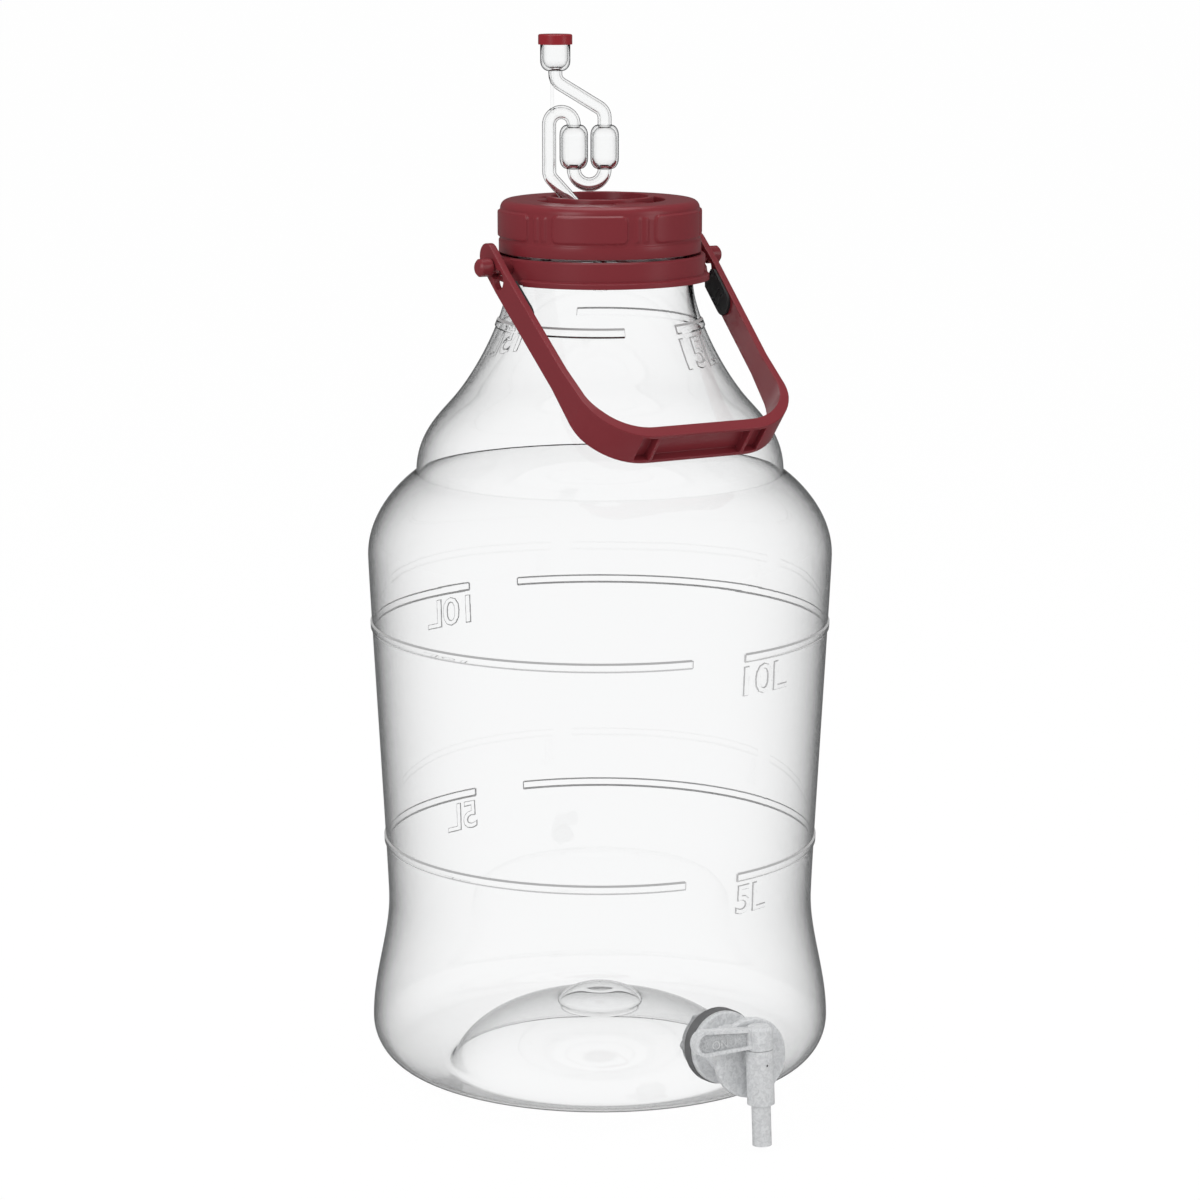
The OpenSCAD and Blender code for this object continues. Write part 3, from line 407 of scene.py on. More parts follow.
# %% [markdown]
# ## Mesh helpers
# Most of this jar is turned or blown, so its pieces are grids: rows of points round the axis,
# joined by quads. A grid keeps its faces even, which clear plastic needs, because every uneven
# face would show as a dent in what is seen through it.

# %% Grid helper


def grid_faces(rows, columns, closed=False):
    """Quads between rows of points that go all the way round."""
    faces = []
    last = rows if closed else rows - 1
    for i in range(last):
        a = i * columns
        b = ((i + 1) % rows) * columns
        for k in range(columns):
            n = (k + 1) % columns
            faces.append((a + k, a + n, b + n, b + k))
    return faces


def smooth(mesh, sharp):
    """Smooth shading, apart from edges that turn by more than that angle."""
    mesh.polygons.foreach_set("use_smooth", [True] * len(mesh.polygons))
    mesh.set_sharp_from_angle(angle=math.radians(sharp))


def new_piece(name, points, faces, material, sharp):
    mesh = bpy.data.meshes.new(name)
    mesh.from_pydata(points, [], faces)
    mesh.validate()
    smooth(mesh, sharp)
    mesh.materials.append(material)
    piece = bpy.data.objects.new(name, mesh)
    scene.collection.objects.link(piece)
    return piece


def face_outward(mesh, weld=0.0, added=None):
    """Turn the faces outwards, after welding points that lie together or adding another mesh."""
    bm = bmesh.new()
    bm.from_mesh(mesh)
    if added:
        bm.from_mesh(added)
    if weld:
        bmesh.ops.remove_doubles(bm, verts=bm.verts, dist=weld)
    bmesh.ops.recalc_face_normals(bm, faces=bm.faces)
    bm.to_mesh(mesh)
    bm.free()


def bezier(a, b, c, d, n):
    """A cubic curve from a to d with handles b and c, in n steps."""
    a, b, c, d = (np.array(p, dtype=float) for p in (a, b, c, d))
    t = np.linspace(0.0, 1.0, n + 1)[:, None]
    s = 1.0 - t
    return s ** 3 * a + 3 * s * s * t * b + 3 * s * t * t * c + t ** 3 * d


def ray(degrees):
    """The direction at that angle, as (cosine, sine)."""
    return np.array([math.cos(math.radians(degrees)), math.sin(math.radians(degrees))])


def ease(x):
    """0 below 0, 1 above 1, and a smooth step between."""
    x = np.clip(x, 0.0, 1.0)
    return x * x * (3.0 - 2.0 * x)


# %% [markdown]
# ## The bottle
# The bottle is blown, so its wall is one smooth skin that is thin in the body and thick in the
# neck. Its outline runs from the knob in the middle of the push-up, over the foot, up the lower
# bulge, in at the waist, out to the shoulder, in at the crease and over the dome to the neck.
# The same outline, moved in by the wall, makes the inside, so that light bends as it does in a
# real shell. The volume bands stand proud of the wall and stop short at the front and back.
# Bezier curves join the outline's points, and a length added to a point reaches to its handle.

# %% Bottle outline
WALL, NECK_WALL = 1.2, 2.3
NECK_R = 48.6
BULGE, WAIST, SHOULDER = (122.6, 29.0), (113.6, 95.0), (122.7, 282.0)
CREASE, FLARE, NECK = np.array([96.8, 325.5]), np.array([78.5, 362.5]), (48.6, 426.0)
HEEL = np.array([109.0, 8.0])
HEEL_RISE, HEEL_RUN = 8.0, 24.5
heel_direction = ray(math.degrees(math.atan2(HEEL_RISE, HEEL_RUN)))

base = np.vstack([
    [[0.0, 41.5], [4.0, 41.5]],
    bezier((8.5, 41.5), (14.5, 41.5), (21.0, 37.5), (22.0, 33.5), 12),
    bezier((22.0, 33.5), (50.5, 31.5), (71.5, 18.5), (77.9, 4.2), 24)[1:],
    bezier((77.9, 4.2), (79.0, 1.8), (80.4, 0.0), (82.4, 0.0), 9)[1:],
    [[83.6, 0.0], [84.4, 0.08], [85.2, 0.25]],
    [[92.0, 2.45], [100.0, 5.06]],
])
body = np.vstack([
    bezier(HEEL, HEEL + 7 * heel_direction, (BULGE[0], BULGE[1] - 11), BULGE, 22),
    bezier(BULGE, (BULGE[0], BULGE[1] + 22), (WAIST[0], WAIST[1] - 22), WAIST, 22)[1:],
    bezier(WAIST, (WAIST[0], WAIST[1] + 16), (SHOULDER[0], SHOULDER[1] - 12), SHOULDER, 26)[1:],
    bezier(SHOULDER, (SHOULDER[0], SHOULDER[1] + 20), CREASE - 13 * ray(145), CREASE, 26)[1:],
    bezier(CREASE, CREASE + (0, 18), FLARE - 12 * ray(132), FLARE, 22)[1:],
    bezier(FLARE, FLARE + 22 * ray(132), (NECK[0], NECK[1] - 16), NECK, 22)[1:],
])
skin_line = np.vstack([base, body])


def outer_r(z):
    """The wall's outer radius at a height."""
    return float(np.interp(z, body[:, 1], body[:, 0])) if z < NECK[1] else NECK_R


print("Outline points:", len(skin_line), "widest", round(float(body[:, 0].max()), 2), "mm")

# %% Bands and neck rows
BANDS = {"5L": 128.1, "10L": 244.5, "15L": 404.4}
BAND_W, BAND_PROUD, BAND_GAP = 4.6, 0.8, 30.0
BAND_FLAT, BAND_SLOPE, BAND_END = 1.5, 1.0, 0.42
ROW_APART = 0.12
rows = [tuple(p) for p in skin_line]
for z in BANDS.values():
    for across in (BAND_FLAT, 2.0, BAND_FLAT + BAND_SLOPE, 2.7):
        rows += [(outer_r(z + dz), z + dz) for dz in (-across, across)]
body_rows = sorted([p for p in rows if p[1] > 8.0 and p[0] > 90 or p[1] > 200], key=lambda p: p[1])
low_rows = [tuple(p) for p in base]
merged = [p for i, p in enumerate(body_rows) if i == 0 or p[1] - body_rows[i - 1][1] > ROW_APART]
thread_rows = [(NECK_R, float(z)) for z in np.arange(445.6, 458.4, 0.4)]
neck_rows = [(48.6, 430.0), (48.75, 430.22), (49.1, 430.3), (50.9, 430.3), (51.15, 430.45), (51.2, 430.7),
             (51.2, 431.9), (50.95, 432.35), (50.5, 432.6), (49.3, 432.7), (48.8, 432.85), (48.6, 433.2),
             (48.6, 439.0)] + thread_rows + [(48.6, 461.0), (48.6, 462.7), (48.4, 463.25), (47.9, 463.5)]
outside = np.array(low_rows + merged + neck_rows)
print("Rows outside:", len(outside))

# %% Inside of the wall


def inside_of(line):
    """The line moved in by the wall, along its normals, thicker towards the neck."""
    ahead = np.roll(line, -1, axis=0) - line
    ahead[-1] = ahead[-2]
    behind = np.roll(ahead, 1, axis=0)
    behind[0] = ahead[0]
    heading = sum(step / np.linalg.norm(step, axis=1)[:, None] for step in (ahead, behind))
    heading /= np.linalg.norm(heading, axis=1)[:, None]
    left = np.stack([-heading[:, 1], heading[:, 0]], axis=1)
    thick = np.interp(line[:, 1], [FLARE[1], NECK[1]], [WALL, NECK_WALL])
    thick[:len(base)] = WALL
    moved = line + left * thick[:, None]
    moved[:, 0] = np.maximum(moved[:, 0], 0.0)
    return moved


smooth_line = np.vstack([base[:-3], [[88.0, 1.15], [100.0, 5.06]], body])
inside = inside_of(smooth_line)
keep = [0]
for i in range(1, len(inside)):
    if np.linalg.norm(inside[i] - inside[keep[-1]]) > 0.5:
        keep.append(i)
inside = np.vstack([inside[keep], [[46.3, 440.0], [46.3, 462.9], [46.5, 463.3], [46.9, 463.5]]])
print("Rows inside:", len(inside))

# %% Bottle columns
COLUMNS = 256
turns = set(np.round(np.linspace(0, 360, COLUMNS, endpoint=False), 4))
for z in BANDS.values():
    half = math.degrees(math.asin(BAND_GAP / 2 / outer_r(z)))
    for middle_a in (270.0, 90.0):
        for side in (-1, 1):
            for step in (0.0, 0.18, BAND_END):
                turns.add(round((middle_a + side * (half + step)) % 360, 4))
turns = np.array(sorted(turns))
turns = turns[np.append(True, np.diff(turns) > 0.05)]
print("Columns:", len(turns))

# %% Raised bands and thread


def band_height(angle, z):
    """How far the wall stands proud at an angle and height."""
    height = np.zeros_like(angle)
    for z_mid in BANDS.values():
        across = abs(z - z_mid)
        if across > BAND_FLAT + BAND_SLOPE:
            continue
        rise = 1.0 - float(np.clip((across - BAND_FLAT) / BAND_SLOPE, 0.0, 1.0))
        half = math.degrees(math.asin(BAND_GAP / 2 / outer_r(z_mid)))
        off = np.minimum(np.abs((angle - 270 + 180) % 360 - 180), np.abs((angle - 90 + 180) % 360 - 180))
        height += BAND_PROUD * rise * np.clip((off - half) / BAND_END, 0.0, 1.0)
    return height


THREAD_LEAD, THREAD_TURNS, THREAD_ROOT, THREAD_CREST, THREAD_HIGH = 6.0, 1.5, 2.2, 0.99, 1.8
THREAD_RUN_OUT = 1 / 9
NECK_THREAD, CAP_THREAD = 446.3, 443.3


def thread_height(angle, z, low):
    """A helical ridge of trapezoid section that runs out at both ends."""
    height = np.zeros_like(angle)
    for k in range(3):
        along = angle / 360.0 + k
        side = np.abs(z - (low + THREAD_ROOT / 2 + THREAD_LEAD * along))
        ridge = np.clip((THREAD_ROOT / 2 - side) / ((THREAD_ROOT - THREAD_CREST) / 2), 0.0, 1.0)
        ends = np.clip(np.minimum(along, THREAD_TURNS - along) / THREAD_RUN_OUT, 0.0, 1.0)
        height = np.maximum(height, THREAD_HIGH * ridge * ends)
    return height


# %% Build the bottle
cosines, sines = np.cos(np.radians(turns)), np.sin(np.radians(turns))
points = []
for r, z in outside:
    proud = band_height(turns, z)
    if 445.0 < z < 459.5 and abs(r - NECK_R) < 0.01:
        proud = proud + thread_height(turns, z, NECK_THREAD)
    points += list(zip((r + proud) * cosines * MM, (r + proud) * sines * MM, np.full(len(turns), z * MM)))
for r, z in inside[::-1]:
    points += list(zip(r * cosines * MM, r * sines * MM, np.full(len(turns), z * MM)))
faces = grid_faces(len(outside) + len(inside), len(turns))
bottle = new_piece("clear_bottle", points, faces, jar_plastic, 40.0)
face_outward(bottle.data, weld=0.01 * MM)
print("Bottle faces:", len(bottle.data.polygons))

# %% [markdown]
# ## Volume numerals and the tap's hole
# The mould also raises the litre numbers beside the start of each band, at the front and again
# at the back. Text gives their shapes, which are bent round the wall and joined to it. The tap's
# hole is drilled along the tap's own axis. Both are boolean steps, and the solver that needs
# closed meshes is quick and exact here.

# %% Bent numerals
NUMERAL_H, NUMERAL_PROUD, NUMERAL_SLOPE, NUMERAL_SUNK = 15.0, 0.6, 0.5, 0.5
NUMERAL_W = {"5L": 22.0, "10L": 33.0, "15L": 31.0}
NUMERAL_BELOW, HALF_DEPTH = 2.2, 1.0
CAPITAL = 0.7


def evaluated_mesh(thing):
    """What the object comes to with its text or its modifiers worked out."""
    bpy.context.view_layer.update()
    return bpy.data.meshes.new_from_object(thing.evaluated_get(bpy.context.evaluated_depsgraph_get()))


def text_mesh(name, words, height, extrude, looks):
    """Words as a mesh, with capitals of that height."""
    text = bpy.data.curves.new(name, "FONT")
    text.body = words
    text.size = height / CAPITAL
    text.extrude = extrude
    for setting, value in looks.items():
        setattr(text, setting, value)
    holder = bpy.data.objects.new(name, text)
    scene.collection.objects.link(holder)
    mesh = evaluated_mesh(holder)
    bpy.data.objects.remove(holder)
    return mesh


def numeral_mesh(words, band_z, back):
    """A litre number bent round the wall, beside the start of its band at the front or back."""
    looks = {"bevel_depth": NUMERAL_SLOPE, "bevel_resolution": 0, "resolution_u": 3, "space_character": 0.95}
    mesh = text_mesh("numeral", words, NUMERAL_H, HALF_DEPTH, looks)
    bm = bmesh.new()
    bm.from_mesh(mesh)
    bmesh.ops.remove_doubles(bm, verts=bm.verts, dist=0.001)
    bmesh.ops.triangulate(bm, faces=bm.faces)
    long = [e for e in bm.edges if e.calc_length() > 2.5]
    bmesh.ops.subdivide_edges(bm, edges=long, cuts=2)
    low_x = min(v.co.x for v in bm.verts)
    squeeze = NUMERAL_W[words] / (max(v.co.x for v in bm.verts) - low_x)
    for v in bm.verts:
        across = (v.co.x - low_x) * squeeze
        high = band_z - BAND_W / 2 - NUMERAL_BELOW - NUMERAL_H + v.co.y
        wall_r = outer_r(high)
        r = wall_r - NUMERAL_SUNK
        if v.co.z > HALF_DEPTH + NUMERAL_SLOPE / 2:
            r = wall_r + NUMERAL_PROUD
        elif v.co.z > 0:
            r = wall_r + 0.02
        half = math.asin(BAND_GAP / 2 / outer_r(band_z))
        angle = -math.pi / 2 + half + across / wall_r + (math.pi if back else 0.0)
        v.co = Vector((r * math.cos(angle), r * math.sin(angle), high)) * MM
    bmesh.ops.recalc_face_normals(bm, faces=bm.faces)
    bm.to_mesh(mesh)
    bm.free()
    return mesh


def boolean(target, mesh, operation):
    """Join or cut the target with a mesh, and say how many faces it had and has."""
    tool = bpy.data.objects.new("boolean_tool", mesh)
    scene.collection.objects.link(tool)
    step = target.modifiers.new("step", "BOOLEAN")
    step.operation = operation
    step.solver = "MANIFOLD"
    step.object = tool
    result = evaluated_mesh(target)
    target.modifiers.remove(step)
    before = len(target.data.polygons)
    target.data = result
    bpy.data.objects.remove(tool)
    return before, len(result.polygons)


for words, band_z in BANDS.items():
    for back in (False, True):
        print(words, "back" if back else "front", boolean(bottle, numeral_mesh(words, band_z, back), "UNION"))

# %% Tap hole
TAP_Z, TAP_SEAT_R, TAP_TILT = 43.2, 121.503, math.radians(3.80861)
HOLE_R, DRILL_LENGTH = 9.8, 30
tap_out = Vector((0.0, -math.cos(TAP_TILT), math.sin(TAP_TILT)))
tap_up = Vector((0.0, math.sin(TAP_TILT), math.cos(TAP_TILT)))
tap_foot = Vector((0.0, -TAP_SEAT_R, TAP_Z)) * MM
drill = bpy.data.meshes.new("drill")
bm = bmesh.new()
bmesh.ops.create_cone(bm, cap_ends=True, segments=64, radius1=HOLE_R * MM, radius2=HOLE_R * MM,
                      depth=DRILL_LENGTH * MM)
along_tap = tap_out.to_track_quat("Z", "Y").to_matrix().to_4x4()
bmesh.ops.transform(bm, matrix=Matrix.Translation(tap_foot) @ along_tap, verts=bm.verts)
bm.to_mesh(drill)
bm.free()
print("Drilled:", boolean(bottle, drill, "DIFFERENCE"))
smooth(bottle.data, 38)

# %% [markdown]
# ## Painted shade on the edges of the marks
# The steep sides of a raised mark bend light away and read as a dark line. Here that line is painted
# shade: the steep sides are found by how far their middles stand proud of the plain wall, and get a
# near-black copy of the jar's plastic.

# %% Steep faces of the marks
STEEP_LOW, STEEP_TOP, STEEP_TURN = 0.07, 0.05, 0.85
MARK_BELOW, MARK_ABOVE = NUMERAL_H + 6.0, 3.0


def of_faces(mesh, key):
    """That vector of every face, as rows."""
    values = np.empty(len(mesh.polygons) * 3)
    mesh.polygons.foreach_get(key, values)
    return values.reshape(-1, 3)


middles, normals = of_faces(bottle.data, "center") / MM, of_faces(bottle.data, "normal")
far = np.hypot(middles[:, 0], middles[:, 1])
proud = far - np.interp(middles[:, 2], body[:, 1], body[:, 0])
steep = np.zeros(len(far), dtype=bool)
for band_z in BANDS.values():
    steep |= (middles[:, 2] > band_z - MARK_BELOW) & (middles[:, 2] < band_z + MARK_ABOVE)
steep &= (proud > STEEP_LOW) & (proud < BAND_PROUD - STEEP_TOP)
steep &= (normals[:, 0] * middles[:, 0] + normals[:, 1] * middles[:, 1]) / np.maximum(far, 1.0) < STEEP_TURN
# The steep faces get the near-black copy, as painted shade.
bottle.data.materials.append(mark_edge_painted_shade)
bottle.data.polygons.foreach_set("material_index", steep.astype(np.int32))
bottle.data.update()
print("Steep faces of marks:", int(steep.sum()))

# %% Give the bottle to the frame
bottle.visible_shadow = False
bottle_nodes = [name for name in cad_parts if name.startswith("bottle")]
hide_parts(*bottle_nodes)
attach(bottle, "jar")
print("The bottle stands for:", bottle_nodes)

# %% [markdown]
# ## The airlock
# The airlock is one bent tube of clear plastic. It rises from the grommet, leans out, turns over
# into the first bulb, passes under into the second, and leans back to the cup. A tube swept along
# a line with rounded corners gives the bends, and its radius changes along the way for the bulbs
# and the cup. The outside and the bore are swept apart, and rings join them at both ends.

# %% Airlock path
TUBE_R, TUBE_WALL, BULB_R, CUP_R = 3.6, 1.1, 7.4, 7.8
BULB_LOW, BULB_HIGH, BULB_X, BULB_END = 483.8, 506.8, (-13.6, 2.4), 5.4
CUP_LOW, BOWL_TOP, CUP_TOP = 534.3, 539.5, 551.5
corners = [((0, 420.85), 0), ((0, 450.95), 6.2), ((-26.4, 480.2), 6.2), ((-26.4, 513.2), 6.4),
           ((-13.6, 513.2), 6.4), ((-13.6, 475.8), 8.0), ((2.4, 475.8), 8.0), ((2.4, 513.8), 6.2),
           ((-23.1, 529.3), 6.2), ((-23.1, CUP_LOW), 0)]


def rounded_path(corners, step=9.0):
    """(point, heading) pairs along straight runs and round bends."""
    places = [np.array(p, dtype=float) for p, _ in corners]
    path = [(places[0], places[1] - places[0])]
    for i in range(1, len(places) - 1):
        before, after = places[i] - places[i - 1], places[i + 1] - places[i]
        u, v = before / np.linalg.norm(before), after / np.linalg.norm(after)
        turn = math.atan2(u[0] * v[1] - u[1] * v[0], float(u @ v))
        radius = corners[i][1]
        cut = radius * math.tan(abs(turn) / 2)
        side = 1.0 if turn > 0 else -1.0
        centre = places[i] - cut * u + side * radius * np.array([-u[1], u[0]])
        start = places[i] - cut * u - centre
        bends = max(4, int(abs(math.degrees(turn)) / step))
        for k in range(bends + 1):
            a = turn * k / bends
            c, s = math.cos(a), math.sin(a)
            arm = np.array([c * start[0] - s * start[1], s * start[0] + c * start[1]])
            path.append((centre + arm, np.array([c * u[0] - s * u[1], s * u[0] + c * u[1]])))
    path.append((places[-1], places[-1] - places[-2]))
    clean = [path[0]]
    for p in path[1:]:
        if np.linalg.norm(p[0] - clean[-1][0]) > 0.05:
            clean.append(p)
    return clean


airlock_path = rounded_path(corners)
print("Path stations:", len(airlock_path))

# %% Airlock rings


def airlock_stations(inset):
    """(centre, heading, radius) along the tube, for its outside or, inset by the wall, its bore."""
    r = TUBE_R - inset
    stations = []
    for i, (p, h) in enumerate(airlock_path):
        stations.append((p, h, r))
        if i + 1 == len(airlock_path):
            break
        q = airlock_path[i + 1][0]
        upright = abs(p[0] - q[0]) < 0.01 and min(abs(p[0] - x) for x in BULB_X) < 0.1
        if upright and min(p[1], q[1]) < BULB_LOW + 0.3 and max(p[1], q[1]) > BULB_HIGH - 0.3:
            down = q[1] < p[1]
            wide = BULB_R - inset
            ends = [(inset * 0.4, r + 0.12), (inset * 0.6 + 0.25, r + 0.5)]
            for a in (18, 28, 39, 50, 62, 75, 90):
                c, s = ray(a)
                ends.append((inset + 0.1 + BULB_END * (1 - c), r + (wide - r) * s))
            length = BULB_HIGH - BULB_LOW
            along = ends + [(length / 2, wide)] + [(length - s, w) for s, w in reversed(ends)]
            for s, w in along:
                z = BULB_HIGH - s if down else BULB_LOW + s
                stations.append((np.array([p[0], z]), h, w))
            if q[1] > BULB_HIGH + 0.3:
                stations.append((np.array([p[0], BULB_HIGH + 0.1]), h, r))
    x, wide = corners[-1][0][0], CUP_R - inset
    cup = []
    for a in (8, 18, 30, 42, 54, 66, 78, 90):
        c, s = ray(a)
        cup.append((CUP_LOW + inset + (BOWL_TOP - CUP_LOW) * (1 - c), r + (wide - r) * s))
    cup += [(CUP_TOP - 0.4, wide), (CUP_TOP, wide + (0.1 if inset else -0.25))]
    return stations + [(np.array([x, z]), np.array([0.0, 1.0]), w) for z, w in cup]


AIRLOCK_TURN = math.radians(-30)
ROUND = 40


def turned(x, y, z):
    """A point of the airlock's own plane, turned into place, in metres."""
    c, s = math.cos(AIRLOCK_TURN), math.sin(AIRLOCK_TURN)
    return (x * c - y * s) * MM, (x * s + y * c) * MM, z * MM


def sweep(stations):
    """Rings of points round the stations."""
    points = []
    for p, h, r in stations:
        h = h / np.linalg.norm(h)
        across = np.array([-h[1], h[0]])
        for k in range(ROUND):
            a = 2 * math.pi * k / ROUND
            x, z = p + across * r * math.cos(a)
            points.append(turned(x, r * math.sin(a), z))
    return points


tube_out, tube_in = airlock_stations(0.0), airlock_stations(TUBE_WALL)
faces = grid_faces(len(tube_out) + len(tube_in), ROUND, closed=True)
airlock = new_piece("bubbler_airlock", sweep(tube_out) + sweep(tube_in[::-1]), faces, airlock_plastic, 50.0)
print("Airlock faces:", len(faces))

# %% Airlock web
WEB_LOW, WEB_HIGH, WEB_BEVEL = (-25.6, -0.6, 512.6), (-23.9, 0.6, 534.8), 0.2
web = bmesh.new()
bmesh.ops.create_cube(web, size=1.0)
for v in web.verts:
    v.co = [low + (v.co[i] + 0.5) * (high - low) for i, (low, high) in enumerate(zip(WEB_LOW, WEB_HIGH))]
bmesh.ops.bevel(web, geom=web.edges[:], offset=WEB_BEVEL, segments=2, profile=0.5, affect="EDGES")
for v in web.verts:
    v.co = turned(*v.co)
web_mesh = bpy.data.meshes.new("web")
web.to_mesh(web_mesh)
web.free()
face_outward(airlock.data, added=web_mesh)
smooth(airlock.data, 50)
airlock.visible_shadow = False
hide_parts("airlock_body")
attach(airlock, "airlock")
print("Web joined")

# %% [markdown]
# ## Lamps and clear plastic
# Mirrored in the jar's shoulder, the lamps would stand as white patches. So they light everything
# but the two clear pieces, which only show the room.

# %% Keep the lamps off the clear pieces
no_shine = bpy.data.collections.new("no_lamp_shine")
for piece in (bottle, airlock):
    no_shine.objects.link(piece)
for entry in no_shine.collection_objects:
    entry.light_linking.link_state = "EXCLUDE"
for lamp in [o for o in bpy.data.objects if o.type == "LIGHT"]:
    lamp.light_linking.receiver_collection = no_shine

# %% [markdown]
# ## The screw cap
# The cap is a moulding with six raised grip panels, fine ribs in the gaps between them, a plain
# band below, a rounded top edge, and a round well that holds the airlock. A fine grid is turned
# round the axis, and each point then moves out by what stands there: a panel with round corners,
# a rib, or nothing. The three bridges across the trough lift its floor in the same way.

# %% Cap outline
CAP_Z, PANEL_TOP, PANEL_LOW, SKIRT_LOW = 468.3, 462.8, 449.1, 441.5
SKIRT_R, BAND_R, PANEL_R, TOP_R = 52.3, 52.8, 53.4, 52.0
SKIRT_IN_R, CAP_IN_Z = 50.9, 465.5
TROUGH_R, TROUGH_IN_R, TROUGH_Z, LIP_Z = 34.0, 28.0, 460.8, 470.1
WELL_R, WELL_FLOOR, WELL_T, GROMMET_HOLE = 25.2, 445.3, 2.0, 6.5
EDGE_R, PANEL_HIGH = 4.3, 464.0
STEP_R, STEP_Z = 49.4, 460.0


def fillet(points, step=18.0):
    """A polyline whose corners, given as (r, z, radius), are rounded."""
    line = []
    for i, (x, z, radius) in enumerate(points):
        if radius <= 0 or i in (0, len(points) - 1):
            line.append((x, z))
            continue
        p = np.array([x, z])
        before = np.array(points[i - 1][:2]) - p
        after = np.array(points[i + 1][:2]) - p
        u, v = before / np.linalg.norm(before), after / np.linalg.norm(after)
        half = math.acos(max(-1, min(1, float(u @ v)))) / 2
        cut = radius / math.tan(half)
        middle_way = (u + v) / np.linalg.norm(u + v)
        centre = p + middle_way * radius / math.sin(half)
        a, b = p + u * cut - centre, p + v * cut - centre
        sweep_a = math.atan2(a[0] * b[1] - a[1] * b[0], float(a @ b))
        parts = max(2, int(abs(math.degrees(sweep_a)) / step))
        for k in range(parts + 1):
            t = sweep_a * k / parts
            c, s = math.cos(t), math.sin(t)
            q = centre + np.array([c * a[0] - s * a[1], s * a[0] + c * a[1]])
            line.append((float(q[0]), float(q[1])))
    return line


def subdivided(line, longest):
    """The line with points added so that no step is longer than that."""
    out = [line[0]]
    for (x0, z0), (x1, z1) in zip(line, line[1:]):
        parts = max(1, math.ceil(math.hypot(x1 - x0, z1 - z0) / longest))
        out += [(x0 + (x1 - x0) * k / parts, z0 + (z1 - z0) * k / parts) for k in range(1, parts + 1)]
    return out


skirt_line = [(SKIRT_R, PANEL_LOW - 0.6), (SKIRT_R, PANEL_TOP - 1.0), (TOP_R, CAP_Z - EDGE_R)]
round_edge = [np.array([TOP_R - EDGE_R, CAP_Z - EDGE_R]) + EDGE_R * ray(a) for a in range(6, 91, 7)]
outer_part = ([(SKIRT_IN_R + 0.3, SKIRT_LOW), (BAND_R - 0.5, SKIRT_LOW), (BAND_R - 0.15, SKIRT_LOW + 0.12),
               (BAND_R, SKIRT_LOW + 0.45), (BAND_R, PANEL_LOW - 1.6), (BAND_R - 0.05, PANEL_LOW - 1.35),
               (BAND_R - 0.3, PANEL_LOW - 1.0)] + subdivided(skirt_line, 0.45)
              + [tuple(p) for p in round_edge])
top_part = fillet([(TOP_R - EDGE_R, CAP_Z, 0), (TROUGH_R, CAP_Z, 0.7), (TROUGH_R, TROUGH_Z, 1.2),
                   (TROUGH_IN_R, TROUGH_Z, 1.2), (TROUGH_IN_R, LIP_Z, 0.7), (WELL_R, LIP_Z, 0.7),
                   (WELL_R, WELL_FLOOR, 1.2), (GROMMET_HOLE, WELL_FLOOR, 0.4),
                   (GROMMET_HOLE, WELL_FLOOR - WELL_T, 0.4), (TROUGH_IN_R, WELL_FLOOR - WELL_T, 1.0),
                   (TROUGH_IN_R, TROUGH_Z - WELL_T, 0.8), (TROUGH_R + WELL_T, TROUGH_Z - WELL_T, 0.8),
                   (TROUGH_R + WELL_T, CAP_IN_Z, 0.6), (STEP_R, CAP_IN_Z, 0.8), (STEP_R, STEP_Z, 0.4),
                   (SKIRT_IN_R, 459.0, 0.4), (SKIRT_IN_R, 456.0, 0)])
thread_part = [(SKIRT_IN_R, float(z)) for z in np.arange(455.6, 442.6, -0.45)]
cap_line = outer_part + top_part[1:] + thread_part + [(SKIRT_IN_R, SKIRT_LOW + 0.3)]
print("Cap rows:", len(cap_line))

# %% Panels, ribs and bridges
PANELS, PANEL_GAP, PANEL_START, GAP_RIBS = 6, 16.0, 24.0, 2
PANEL_CORNER, PANEL_SLOPE, RIB_PROUD = 3.2, 1.1, 0.55
BRIDGES, BRIDGE_A, BRIDGE_START = 3, 34.0, 30.0
CAP_COLUMNS = 600
cap_turns = np.linspace(0, 360, CAP_COLUMNS, endpoint=False)


def panel_height(angle, z):
    """A raised panel with round corners and edges, from its distance to the panel's edge."""
    pitch = 360.0 / PANELS
    off = np.abs((angle - (PANEL_START + pitch / 2) + pitch / 2) % pitch - pitch / 2)
    half_w = math.radians((pitch - PANEL_GAP) / 2) * SKIRT_R
    half_h = (PANEL_HIGH - PANEL_LOW) / 2
    across = np.radians(off) * SKIRT_R
    up = abs(z - (PANEL_LOW + half_h))
    qx, qz = across - (half_w - PANEL_CORNER), up - (half_h - PANEL_CORNER)
    edge = PANEL_CORNER - (np.hypot(np.maximum(qx, 0), max(qz, 0)) + np.minimum(np.maximum(qx, qz), 0))
    return ease(edge / PANEL_SLOPE) * (PANEL_R - SKIRT_R)


def rib_height(angle, z):
    """Thin upright ribs in the gaps between the panels, fading at both ends."""
    pitch = 360.0 / PANELS
    off = (angle - PANEL_START + pitch / 2) % pitch - pitch / 2
    height = np.zeros_like(angle)
    for k in range(GAP_RIBS):
        middle_a = (k + 1 - (GAP_RIBS + 1) / 2) * PANEL_GAP / (GAP_RIBS + 1)
        height = np.maximum(height, ease((2.1 - np.abs(off - middle_a)) / 1.3))
    ends = float(ease((z - PANEL_LOW - 0.4) / 1.2) * ease((PANEL_HIGH - 0.8 - z) / 1.6))
    return height * ends * RIB_PROUD


def bridge_mask(angle):
    """1 where a bridge crosses the trough, else 0."""
    pitch = 360.0 / BRIDGES
    off = np.abs((angle - BRIDGE_START + pitch / 2) % pitch - pitch / 2)
    return ease((BRIDGE_A / 2 + 1.4 - off) / 2.8)


